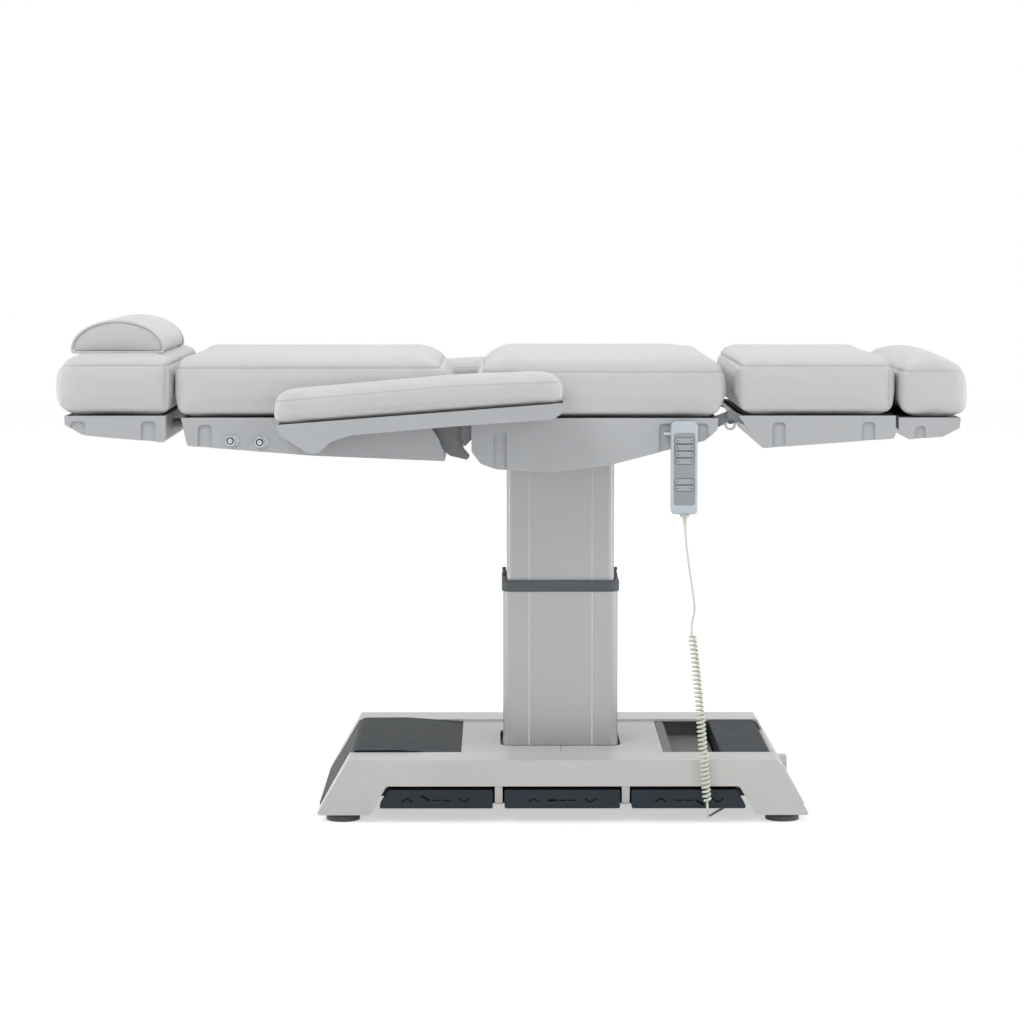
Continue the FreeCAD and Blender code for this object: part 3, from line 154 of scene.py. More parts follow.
class Shader:
    """The node tree of one finish, with a principled surface at its end."""

    def __init__(self, name: str) -> None:
        """Start an empty tree.

        Args:
            name: The material's name.
        """
        self.material = bpy.data.materials.new(name)
        self.material.use_nodes = True
        self.tree = self.material.node_tree
        self.tree.nodes.clear()
        self.surface = self.node("ShaderNodeBsdfPrincipled", {}, {})
        output = self.node("ShaderNodeOutputMaterial", {}, {})
        self.tree.links.new(self.surface.outputs[0], output.inputs["Surface"])
        self.place = self.node("ShaderNodeTexCoord", {}, {}).outputs["Object"]

    def node(self, kind: str, settings: dict, inputs: dict) -> bpy.types.Node:
        """Add a node.

        Args:
            kind: The node's type.
            settings: Its properties, set first.
            inputs: Values, sockets or Signals by socket name or number.

        Returns:
            The node.
        """
        made = self.tree.nodes.new(kind)
        for name, value in settings.items():
            setattr(made, name, value)
        for key, value in inputs.items():
            self._feed(made.inputs[key], value)
        return made

    def _feed(self, entry: bpy.types.NodeSocket, value: object) -> None:
        """Set or link an input."""
        source = value.socket if isinstance(value, Signal) else value
        if isinstance(source, bpy.types.NodeSocket):
            self.tree.links.new(source, entry)
        else:
            entry.default_value = source

    def noise(self, scale: float, detail: float = 2.0, rough: float = 0.5,
              place: bpy.types.NodeSocket | None = None) -> Signal:
        """Return a noise from 0 to 1.

        Args:
            scale: Patches per metre.
            detail: Octaves.
            rough: Weight of the fine octaves.
            place: The vector it follows, or the surface's own position.
        """
        made = self.node("ShaderNodeTexNoise", {}, {"Vector": place or self.place, "Scale": scale,
                                                    "Detail": detail, "Roughness": rough})
        return Signal(self, made.outputs["Fac"])

    def cells(self, scale: float) -> Signal:
        """Return the distance to a cell's edge, for grain."""
        made = self.node("ShaderNodeTexVoronoi", {"feature": "DISTANCE_TO_EDGE"},
                         {"Vector": self.place, "Scale": scale})
        return Signal(self, made.outputs["Distance"])

    def stretched(self, scales: Place) -> bpy.types.NodeSocket:
        """Return the surface's position with each axis scaled, for brushed or streaked finishes."""
        made = self.node("ShaderNodeVectorMath", {"operation": "MULTIPLY"},
                         {0: self.place, 1: scales})
        return made.outputs[0]

    def part(self, axis: int) -> Signal:
        """Return one coordinate of the surface's position."""
        made = self.node("ShaderNodeSeparateXYZ", {}, {0: self.place})
        return Signal(self, made.outputs[axis])

    def tint(self, factor: Signal, low: Colour | bpy.types.NodeSocket,
             high: Colour) -> bpy.types.NodeSocket:
        """Return a colour that goes from the low one to the high one as the factor goes to 1."""
        first = low if isinstance(low, bpy.types.NodeSocket) else (*low, 1.0)
        made = self.node("ShaderNodeMix", {"data_type": "RGBA"},
                         {"Factor": factor, MIX_FIRST: first, MIX_SECOND: (*high, 1.0)})
        return made.outputs[MIX_RESULT]

    def rays(self, *kinds: str) -> Signal:
        """Return 1 where one of the given kinds of ray meets the surface."""
        path = self.node("ShaderNodeLightPath", {}, {})
        seen = [Signal(self, path.outputs["Is %s Ray" % kind]) for kind in kinds]
        return sum(seen[1:], seen[0])

    def relief(self, height: Signal, depth: float, strength: float = 1.0) -> None:
        """Give the surface a bump.

        Args:
            height: The relief, from 0 to 1.
            depth: Its height in metres.
            strength: How much of it shows.
        """
        made = self.node("ShaderNodeBump", {},
                         {"Height": height, "Distance": depth, "Strength": strength})
        self.wire("Normal", made.outputs[0])

    def wire(self, name: str, value: object) -> None:
        """Set or link one of the surface's sockets."""
        self._feed(self.surface.inputs[name], value)


def shade(colour: Colour, factor: float) -> Colour:
    """Return a colour made lighter or darker."""
    return tuple(min(1.0, max(0.0, c * factor)) for c in colour)


@dataclass(frozen=True)
class Upholstery:
    """Soft coated leather with a fine grain, and the seams of one cushion sewn into it, their
    grooves darkened with painted shade.

    Each line is a seam's height at the middle of the chair and its slope. An upright is a seam's
    place along it.
    """

    name: str
    colour: Colour = (0.675, 0.665, 0.655)
    grain: float = 900.0
    rough: float = 0.46
    lines: tuple[Point, ...] = ()
    uprights: tuple[float, ...] = ()
    thread: Point = (0.0005, 0.0018)

    def material(self) -> bpy.types.Material:
        """Return the finish as a material."""
        shader = Shader(self.name)
        cloud = shader.noise(3.5, 3.0)
        fine = shader.noise(60.0, 4.0)
        grain = shader.cells(self.grain)
        pores = shader.noise(self.grain * 1.6, 3.0)
        mottle = (cloud * 0.65 + fine * 0.35).between(0.3, 0.7)
        colour = shader.tint(mottle, shade(self.colour, 0.955), shade(self.colour, 1.02))
        creases = shader.noise(14.0, 5.0, 0.6)
        height = grain.between(0.0, 0.22) * 0.5 + pores * 0.2 + creases * 0.9
        if self.lines:
            seam, gap = self._seams(shader)
            pucker = shader.noise(1.0, 2.0, 0.5, shader.stretched((150.0, 150.0, 16.0)))
            height = height - seam * 2.2 + pucker * gap.near(0.001, 0.017) * 1.1
            # Painted shade: the colour darkens along the seams' grooves.
            colour = shader.tint(seam * 0.34, colour, shade(self.colour, 0.5))
        shader.wire("Base Color", colour)
        shader.wire("Roughness", fine * 0.10 + (self.rough - 0.05))
        shader.relief(height, 0.0009, 0.32)
        shader.wire("Specular IOR Level", 0.42)
        return shader.material

    def _seams(self, shader: Shader) -> tuple[Signal, Signal]:
        """Return where the seams are, and the height over the level one."""
        along, height = shader.part(0), shader.part(2)
        level = None
        for at, slope in self.lines:
            here = along * slope + at
            level = here if level is None else level.lower(here)
        gap = height - level
        seam = gap.near(*self.thread)
        for place in self.uprights:
            under = (level - height).between(-0.001, 0.001)
            seam = seam.higher((along - place).near(*self.thread) * under)
        return seam, gap


@dataclass(frozen=True)
class Moulded:
    """Moulded plastic or powder paint with a fine skin."""

    name: str
    colour: Colour
    rough: float = 0.42
    skin: float = 700.0
    depth: float = 0.00012
    speckle: float = 0.03
    shine: float = 0.4

    def material(self) -> bpy.types.Material:
        """Return the finish as a material."""
        shader = Shader(self.name)
        broad = shader.noise(6.0, 3.0)
        skin = shader.noise(self.skin, 3.0)
        dust = shader.noise(42.0, 5.0, 0.65)
        mottle = (broad * 0.6 + dust * 0.4).between(0.32, 0.68)
        low = shade(self.colour, 1.0 - self.speckle)
        high = shade(self.colour, 1.0 + self.speckle)
        shader.wire("Base Color", shader.tint(mottle, low, high))
        shader.wire("Roughness", dust * 0.14 + (self.rough - 0.07))
        shader.wire("Specular IOR Level", self.shine)
        shader.relief(skin, self.depth, 0.5)
        return shader.material


@dataclass(frozen=True)
class Metal:
    """Metal brushed along one axis: bare, or anodised when it is less than wholly metallic."""

    name: str
    colour: Colour
    rough: float
    brush: Place
    metallic: float = 1.0
    patches: float = 4.0
    streaks: float = 0.5
    tones: Point = (0.93, 1.05)
    spread: float = 0.12
    depth: float = 0.00008
    strength: float = 0.35

    def material(self) -> bpy.types.Material:
        """Return the finish as a material."""
        shader = Shader(self.name)
        lines = shader.noise(1.0, 4.0, 0.6, shader.stretched(self.brush))
        broad = shader.noise(self.patches, 2.0)
        tone = (lines * self.streaks + broad * (1.0 - self.streaks)).between(0.3, 0.7)
        low, high = (shade(self.colour, factor) for factor in self.tones)
        shader.wire("Metallic", self.metallic)
        shader.wire("Base Color", shader.tint(tone, low, high))
        shader.wire("Roughness", lines * self.spread + (self.rough - self.spread / 2))
        shader.relief(lines, self.depth, self.strength)
        return shader.material


def rounded(corners: list[Corner], step: float = 0.008) -> list[Point]:
    """Return a closed outline with its corners turned into arcs.

    Args:
        corners: (x, z, radius) of each corner, in millimetres, in order.
        step: Longest distance between points, in metres.

    Returns:
        Points in metres, anticlockwise when the corners are.
    """
    points: list[Vector] = []
    count = len(corners)
    for i, (x, z, radius) in enumerate(corners):
        here = Vector((x, z)) * MM
        back = Vector(corners[i - 1][:2]) * MM - here
        ahead = Vector(corners[(i + 1) % count][:2]) * MM - here
        back.normalize()
        ahead.normalize()
        half = back.angle(ahead) / 2
        reach = radius * MM / math.tan(half)
        centre = here + (back + ahead).normalized() * (radius * MM / math.sin(half))
        start, end = here + back * reach - centre, here + ahead * reach - centre
        sweep = math.copysign(math.pi - 2 * half, start.x * end.y - start.y * end.x)
        turns = max(2, int(start.length * abs(sweep) / step) + 1)
        for k in range(turns + 1):
            cosine, sine = math.cos(sweep * k / turns), math.sin(sweep * k / turns)
            points.append(centre + Vector((start.x * cosine - start.y * sine,
                                           start.x * sine + start.y * cosine)))
    dense: list[Point] = []
    for i, here in enumerate(points):
        ahead = points[(i + 1) % len(points)]
        parts = max(1, int((ahead - here).length / step + 0.5))
        if (ahead - here).length < 1e-6:
            continue
        for k in range(parts):
            spot = here.lerp(ahead, k / parts)
            dense.append((spot.x, spot.y))
    return dense


def rectangle(low: Point, high: Point, radius: float, step: float) -> list[Point]:
    """Return a rounded rectangle's outline from two corners and a radius in millimetres."""
    (left, foot), (right, head) = low, high
    return rounded([(left, foot, radius), (right, foot, radius), (right, head, radius),
                    (left, head, radius)], step)


def outward(outline: list[Point]) -> list[Vector]:
    """Return the outward direction at each point of an anticlockwise outline."""
    normals = []
    count = len(outline)
    for i in range(count):
        ahead = Vector(outline[(i + 1) % count]) - Vector(outline[i - 1])
        normals.append(Vector((ahead.y, -ahead.x)).normalized())
    return normals


def inset_ring(outline: list[Point], normals: list[Vector], inset: float, y: float) -> list[Vector]:
    """Return an outline drawn in by an inset, at one place across the chair."""
    return [Vector((x - n.x * inset, y, z - n.y * inset)) for (x, z), n in zip(outline, normals)]


def plate_rings(outline: list[Point], near: float, far: float, bevel: float, steps: int,
                between: int = 0) -> list[list[Vector]]:
    """Return the sections of a plate seen from the side, its rims rounded on both faces.

    Args:
        outline: The plate's anticlockwise outline, as (x, z).
        near: Y of the face toward -Y.
        far: Y of the other face.
        bevel: Radius of the rims.
        steps: Faces across each rim.
        between: Sections between the rims.

    Returns:
        The sections, from the near face to the far one.
    """
    normals = outward(outline)
    rings = []
    for face, into in ((near, 1), (far, -1)):
        for k in range(steps + 1)[::into]:
            angle = QUARTER * k / steps
            y = face + into * bevel * (1 - math.cos(angle))
            rings.append(inset_ring(outline, normals, bevel * (1 - math.sin(angle)), y))
        if face == near:
            span = far - near - 2 * bevel
            rings += [inset_ring(outline, normals, 0.0, near + bevel + span * k / (between + 1))
                      for k in range(1, between + 1)]
    return rings


def middle_of(outline: list[Point]) -> Vector:
    """Return the mean of an outline's points."""
    return Vector((sum(x for x, _ in outline), sum(z for _, z in outline))) / len(outline)


def line_length(path: list[Vector]) -> float:
    """Return the length of a line of points."""
    return sum((ahead - here).length for here, ahead in zip(path, path[1:]))


def smoothstep(value: float) -> float:
    """Return value eased between 0 and 1."""
    held = min(1.0, max(0.0, value))
    return held * held * (3 - 2 * held)


class Form:
    """Vertices and faces of one piece, gathered before they become an object."""

    def __init__(self) -> None:
        """Start with nothing."""
        self.verts: list[Vector] = []
        self.faces: list[tuple[int, ...]] = []

    def loft(self, rings: list[list[Vector]], capped: bool = True) -> None:
        """Skin rings of equal length, in order.

        Args:
            rings: The rings' points.
            capped: Whether the first and last ring are closed with a face.
        """
        start = len(self.verts)
        count = len(rings[0])
        for ring in rings:
            self.verts.extend(ring)
        for r in range(len(rings) - 1):
            low = start + r * count
            for i in range(count):
                j = (i + 1) % count
                self.faces.append((low + i, low + j, low + count + j, low + count + i))
        if capped:
            self.faces.append(tuple(range(start + count - 1, start - 1, -1)))
            last = start + (len(rings) - 1) * count
            self.faces.append(tuple(range(last, last + count)))

    def tube(self, path: list[Vector], radius: float, sides: int = 12, taper: float = 1.0) -> None:
        """Add a round tube along a path, its far end's radius scaled by taper."""
        rings = []
        steep = abs((path[1] - path[0]).normalized().z) >= 0.9
        side = RIGHT if steep else UP
        for i, point in enumerate(path):
            ahead = (path[min(i + 1, len(path) - 1)] - path[max(i - 1, 0)]).normalized()
            side = (side - ahead * side.dot(ahead)).normalized()
            across = ahead.cross(side)
            size = radius * (1 + (taper - 1) * i / (len(path) - 1))
            rings.append([point + (side * math.cos(a) + across * math.sin(a)) * size
                          for a in (2 * math.pi * k / sides for k in range(sides))])
        self.loft(rings)

    def slab(self, outline: list[Point], near: float, far: float, bevel: float, steps: int) -> None:
        """Add a plate seen from the side, its rims rounded on both faces."""
        self.loft(plate_rings(outline, near, far, bevel, steps))

    def piece(self, name: str, material: bpy.types.Material,
              smooth: bool = True) -> bpy.types.Object:
        """Return the form as an object with its finish."""
        mesh = bpy.data.meshes.new(name)
        mesh.from_pydata([tuple(v) for v in self.verts], [], self.faces)
        mesh.validate()
        tidy = bmesh.new()
        tidy.from_mesh(mesh)
        bmesh.ops.recalc_face_normals(tidy, faces=tidy.faces)
        tidy.to_mesh(mesh)
        tidy.free()
        made = bpy.data.objects.new(name, mesh)
        bpy.context.scene.collection.objects.link(made)
        mesh.materials.append(material)
        if smooth:
            mesh.shade_smooth()
        return made


def crease(made: bpy.types.Object, degrees: float = 38.0) -> bpy.types.Object:
    """Shade an object smooth, with hard edges where its faces turn by more than an angle."""
    made.data.shade_smooth()
    made.data.set_sharp_from_angle(angle=math.radians(degrees))
    return made


class Run(Enum):
    """Which way a sewn seam runs on a cushion."""

    LEVEL = "round the sides at one height"
    UPRIGHT = "up both side panels"


@dataclass(frozen=True)
class Seam:
    """A sewn seam: its run, its place, and the groove it pulls."""

    run: Run
    place: float
    width: float = 0.006
    depth: float = 0.0022

    def gap(self, spot: Vector, normal: Vector) -> float:
        """Return how far a surface point lies from the seam, or a large number off its panels."""
        if self.run is Run.LEVEL:
            return abs(spot.z - self.place) if abs(normal.z) < 0.88 else 1.0
        return abs(spot.x - self.place) if abs(normal.y) > 0.6 else 1.0


@dataclass
class Cushion:
    """A padded block: its side outline in millimetres, its rounding, crown and seams."""

    name: str
    node: str
    body: str
    outline: list[Corner]
    seams: list[Seam]
    half: float = 0.2965
    top_round: float = 0.030
    low_round: float = 0.010
    shrink: float = 0.004
    crown: float = 0.003
    swell: float = 0.004
    middle: float = 0.0
    voxel: float = 0.0075
    lines: tuple[Point, ...] = ()

    def rings(self) -> list[list[Vector]]:
        """Return the block's sections from one side panel's middle to the other's."""
        outline = rounded(self.outline, 0.010)
        normals = outward(outline)
        centre = middle_of(outline)
        radii = [self.low_round + (self.top_round - self.low_round) * smoothstep((n.y + 0.35) / 0.9)
                 for n in normals]

        def section(place: float, angle: float, pull: float) -> list[Vector]:
            """Return a ring at a share of the width, an angle round its rim and a pull inward."""
            ring = []
            for (x, z), n, r in zip(outline, normals, radii):
                inset = r * (1 - math.cos(angle)) + self.shrink
                y = place
                if angle:
                    y = place * (self.half - r) + math.copysign(r * math.sin(angle), place)
                lift = self.crown * (1 - (y / self.half) ** 2) * max(0.0, n.y)
                spot = Vector((x - n.x * inset, z - n.y * inset + lift))
                spot = spot.lerp(centre, pull)
                ring.append(Vector((spot.x, self.middle + y, spot.y)))
            return ring

        inner = self.half - max(radii)
        rings = [section(-1.0, QUARTER, pull) for pull in (0.9, 0.6, 0.3)]
        rings += [section(-1.0, QUARTER * k / 5, 0.0) for k in range(5, 0, -1)]
        rings += [section(inner * k / 12, 0.0, 0.0) for k in range(-12, 13)]
        rings += [section(1.0, QUARTER * k / 5, 0.0) for k in range(1, 6)]
        rings += [section(1.0, QUARTER, pull) for pull in (0.3, 0.6, 0.9)]
        return rings

    def leather(self) -> bpy.types.Material:
        """Return the cover's finish, with this cushion's own seams."""
        levels = tuple((seam.place, 0.0) for seam in self.seams if seam.run is Run.LEVEL)
        uprights = tuple(seam.place for seam in self.seams if seam.run is Run.UPRIGHT)
        return Upholstery(self.node + "_leather", lines=self.lines or levels,
                          uprights=uprights).material()

    def build(self, thread: bpy.types.Material) -> None:
        """Make the cushion and its stitching.

        Args:
            thread: Finish of the stitches.
        """
        form = Form()
        form.loft(self.rings())
        made = form.piece(self.name, self.leather())
        inflate(made, self.voxel, self.swell)
        self.settle(made)
        self.sew(made)
        made.data.shade_smooth()
        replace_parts(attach(made, self.body), self.node)
        self.stitch(made, thread)
        LOG.info("cushion %s: %d faces", self.name, len(made.data.polygons))

    def settle(self, made: bpy.types.Object) -> None:
        """Keep the cushion inside its own room and flat on its board.

        It is drawn down to the board, its ends stay off its neighbours, and its sides may bulge.
        """
        off_ends, bulge = 0.0003, 0.002
        low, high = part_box(self.node)
        heights = [vertex.co.z for vertex in made.data.vertices]
        bottom, top = min(heights), max(heights)
        stretch = 0.0 if self.lines else (bottom - low[2]) / (top - bottom)
        for vertex in made.data.vertices:
            spot = vertex.co
            spot.z = max(spot.z - (top - spot.z) * stretch, low[2])
            spot.x = min(max(spot.x, low[0] + off_ends), high[0] - off_ends)
            spot.y = min(max(spot.y, low[1] - bulge), high[1] + bulge)

    def sew(self, made: bpy.types.Object) -> None:
        """Pull the seams' grooves into the surface."""
        mesh = made.data
        mesh.update()
        moves = []
        for vertex in mesh.vertices:
            depth = 0.0
            for seam in self.seams:
                gap = seam.gap(vertex.co, vertex.normal)
                if gap < seam.width:
                    depth = max(depth, seam.depth * (1 - (gap / seam.width) ** 2) ** 2)
            if depth > 0:
                moves.append((vertex, vertex.co - vertex.normal * depth))
        for vertex, spot in moves:
            vertex.co = spot
        mesh.update()

    def stitch(self, made: bpy.types.Object, thread: bpy.types.Material) -> None:
        """Lay a row of stitches beside each seam, on both side panels."""
        tree = BVHTree.FromPolygons([v.co for v in made.data.vertices],
                                    [tuple(p.vertices) for p in made.data.polygons])
        low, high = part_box(self.node)
        form = Form()
        for seam in self.seams:
            level = seam.run is Run.LEVEL
            axis, along = (0, RIGHT) if level else (2, UP)
            for side in (-1.0, 1.0):
                y = self.middle + side * STITCH_CAST
                for k in range(int((high[axis] - low[axis]) / STITCH_PITCH)):
                    place = low[axis] + STITCH_PITCH * (k + 0.5)
                    start = ((place, y, seam.place - STITCH_GAP) if level
                             else (seam.place + STITCH_GAP, y, place))
                    self._stitch(form, tree, Vector(start), Vector((0, -side, 0)), along)
        if form.verts:
            made_thread = form.piece(self.name + "_stitches", thread)
            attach(made_thread, self.body)

    @staticmethod
    def _stitch(form: Form, tree: BVHTree, start: Vector, aim: Vector, along: Vector) -> None:
        """Add one stitch where a ray meets the cover."""
        spot, normal, _, _ = tree.ray_cast(start, aim)
        if spot is None or abs(normal.dot(aim)) < 0.35:
            return
        across = normal.cross(along).normalized()
        along = across.cross(normal).normalized()
        rings = []
        for t, size, rise in ((-1.0, 0.3, 0.0001), (-0.6, 1.0, 0.00035), (0.6, 1.0, 0.00035),
                              (1.0, 0.3, 0.0001)):
            middle = spot + along * (t * STITCH_HALF) + normal * rise
            thick = STITCH_THICK * size
            rings.append([middle + across * thick, middle + normal * thick,
                          middle - across * thick, middle - normal * (0.0004 * size)])
        form.loft(rings)


def refine(made: bpy.types.Object, voxel: float) -> None:
    """Turn an object's mesh into an even one."""
    remesh = made.modifiers.new("even", "REMESH")
    remesh.mode = "VOXEL"
    remesh.voxel_size = voxel
    remesh.use_smooth_shade = True
    settle_modifiers(made)


def settle_modifiers(made: bpy.types.Object) -> None:
    """Apply every modifier of an object."""
    graph = bpy.context.evaluated_depsgraph_get()
    fresh = bpy.data.meshes.new_from_object(made.evaluated_get(graph))
    old = made.data
    made.modifiers.clear()
    made.data = fresh
    if not fresh.materials and old.materials:
        fresh.materials.append(old.materials[0])


def inflate(made: bpy.types.Object, voxel: float, cap: float, frames: int = 14) -> None:
    """Swell a padded piece with a cloth simulation, then smooth it once.

    Args:
        made: The piece, a little smaller than it should end.
        voxel: Size of its even mesh.
        cap: Farthest that a point may move.
        frames: Steps of the simulation.
    """
    refine(made, voxel)
    rest = [v.co.copy() for v in made.data.vertices]
    cloth = made.modifiers.new("stuffing", "CLOTH")
    cloth.settings.use_pressure = True
    cloth.settings.uniform_pressure_force = 2.5
    cloth.settings.mass = 0.35
    cloth.settings.quality = 4
    cloth.settings.effector_weights.gravity = 0.0
    cloth.point_cache.frame_start = 1
    cloth.point_cache.frame_end = frames
    scene = bpy.context.scene
    for step in range(1, frames + 1):
        scene.frame_set(step)
    settle_modifiers(made)
    for vertex, home in zip(made.data.vertices, rest):
        move = vertex.co - home
        if move.length > cap:
            vertex.co = home + move.normalized() * cap
    scene.frame_set(1)
    even = made.modifiers.new("even", "SMOOTH")
    even.factor = 0.5
    even.iterations = 5
    finer = made.modifiers.new("soft", "SUBSURF")
    finer.levels = 1
    finer.render_levels = 1
    settle_modifiers(made)


class Use(Enum):
    """The part of the chair that a foot pedal moves."""

    BACK = "back"
    SEAT = "seat"
    LEG = "leg"


class Finishes:
    """Every finish of the chair, made once."""

    def __init__(self) -> None:
        """Make the materials."""
        self.leather = Upholstery("upholstery_leather").material()
        self.thread = Moulded("stitching_thread", (0.74, 0.715, 0.675), 0.75, 2500.0).material()
        self.cover = Moulded("cover_shell_grey", (0.52, 0.535, 0.55), 0.44).material()
        self.cover_arm = Moulded("arm_shell_grey", (0.50, 0.515, 0.53), 0.42).material()
        self.base = Moulded("base_powder_paint", (0.64, 0.635, 0.62), 0.38, 900.0).material()
        self.deck = Moulded("deck_powder_paint", (0.62, 0.62, 0.61), 0.46, 900.0).material()
        self.dark = Moulded("dark_cover_plastic", (0.0085, 0.0155, 0.021), 0.42, 500.0,
                            0.0002, 0.10, 0.05).material()
        self.slate = Moulded("pedal_slate", (0.040, 0.050, 0.060), 0.5, 500.0,
                             0.0002, 0.10, 0.08).material()
        # Near black: printed marks on the pedals, and painted shade on the pedal mounts and in the
        # knobs' grooves.
        self.print_and_shade_black = Moulded("print_black_and_recess_shade", (0.004, 0.0045, 0.005), 0.6, 500.0,
                             0.0001, 0.08, 0.03).material()
        # Dark grey for the faces inside the right end cover's trough: painted shade.
        self.trough_shade = Moulded("trough_painted_shade_grey", (0.17, 0.17, 0.17), 0.5, 900.0,
                              0.0001, 0.04, 0.2).material()
        self.collar = Moulded("collar_grey", (0.125, 0.142, 0.152), 0.5, 500.0,
                              0.0002, 0.06, 0.15).material()
        self.steel = Moulded("frame_dark_paint", (0.25, 0.26, 0.27), 0.45, 600.0,
                             0.0001, 0.08, 0.25).material()
        self.column = Metal("column_satin_aluminium", (0.435, 0.44, 0.452), 0.38,
                            (900.0, 900.0, 3.0), metallic=0.55, patches=2.5, streaks=0.4,
                            tones=(0.95, 1.04), spread=0.10, depth=0.00006, strength=0.3).material()
        # Painted highlight: pale strips in the column's grooves stand in for the light lines along
        # them.
        self.strip = Moulded("column_groove_painted_highlight", (0.80, 0.80, 0.81), 0.4, 900.0,
                             0.00005, 0.02).material()
        self.bright = Metal("ground_steel", (0.52, 0.53, 0.55), 0.28,
                            (4.0, 800.0, 800.0)).material()
        self.handset = Moulded("handset_pale_blue", (0.60, 0.66, 0.71), 0.33, 900.0,
                               0.00008).material()
        self.faceplate = Moulded("handset_faceplate", (0.36, 0.385, 0.405), 0.5, 1200.0,
                                 0.00008).material()
        self.key = Moulded("key_pale_rubber", (0.43, 0.46, 0.48), 0.55, 1500.0, 0.00006).material()
        self.mark = Moulded("printed_mark", (0.03, 0.035, 0.04), 0.6, 1500.0,
                            0.00003, 0.1, 0.1).material()
        self.cord = Moulded("cord_ivory", (0.74, 0.75, 0.655), 0.42, 1500.0, 0.00006).material()
        self.rubber = Moulded("foot_rubber", (0.12, 0.12, 0.122), 0.7, 400.0,
                              0.0002, 0.15).material()

    def dress(self) -> None:
        """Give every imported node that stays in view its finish."""
        dressed = 0
        for names, finish in (
                (("near_side_rail", "far_side_rail", "right_end_cover"), self.base),
                (("floor_deck",), self.deck),
                (("left_end_cover", "control_box", "back_actuator", "leg_actuator",
                  "tilt_actuator"), self.dark),
                # Pedal mounts: near black, painted shade.
                (("pedal_mounts",), self.print_and_shade_black),
                (("base_frame", "lift_spindle", "column_head", "seat_frame", "back_frame",
                  "head_frame", "leg_frame", "foot_frame", "near_arm_link", "far_arm_link"),
                 self.steel),
                (("column_outer_tube", "column_inner_tube"), self.column),
                (("column_collar",), self.collar),
                (("levelling_feet",), self.rubber),
                (("seat_cover", "back_cover", "head_cover", "leg_cover", "foot_cover"), self.cover),
                (("near_arm_shell", "far_arm_shell"), self.cover_arm),
                (("back_actuator_rod", "leg_actuator_rod", "tilt_actuator_rod", "handset_hook",
                  "head_lock_knobs"), self.bright),
                (["%s_pedal_%s" % (side, use.value) for side in ("near", "far") for use in Use],
                 self.slate)):
            for name in names:
                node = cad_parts[name]
                node.data.materials.clear()
                node.data.materials.append(finish)
                crease(node, 32.0)
                dressed += 1
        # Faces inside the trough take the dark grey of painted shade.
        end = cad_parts["right_end_cover"]
        end.data.materials.append(self.trough_shade)
        for face in end.data.polygons:
            spot = end.matrix_world @ face.center
            if abs(spot.y) < TROUGH_HALF and spot.x < TROUGH_END:
                face.material_index = 1
        LOG.info("finishes: %d packed nodes dressed", dressed)


def padded_top() -> list[Cushion]:
    """Return the five cushions of the top."""
    return [
        Cushion("head_cushion_cover", "head_cushion", "headrest",
                [(-944, 844, 40), (-697.5, 844, 16), (-697.5, 968, 26), (-944, 968, 48)],
                [Seam(Run.LEVEL, 0.947), Seam(Run.UPRIGHT, -0.712)]),
        Cushion("back_cushion_cover", "back_cushion", "back",
                [(-696, 840, 22), (-117, 840, 22), (-117, 968, 85), (-696, 968, 26)],
                [Seam(Run.LEVEL, 0.942)]),
        Cushion("seat_cushion_cover", "seat_cushion", "seat",
                [(-80, 839, 22), (430, 839, 22), (447, 880, 30), (445, 935, 22), (425, 962, 30),
                 (345, 970, 60), (-80, 970, 80)],
                [Seam(Run.LEVEL, 0.934)]),
        Cushion("leg_cushion_cover", "leg_cushion", "legrest",
                [(461, 844, 22), (792.5, 844, 22), (792.5, 968, 26), (461, 968, 30)],
                [Seam(Run.LEVEL, 0.946), Seam(Run.UPRIGHT, 0.776)]),
        Cushion("foot_cushion_cover", "foot_cushion", "footrest",
                [(795, 840, 22), (944, 840, 22), (940, 948, 40), (868, 970, 80), (797, 958, 30)],
                [Seam(Run.LEVEL, 0.936)], swell=0.006),
    ]


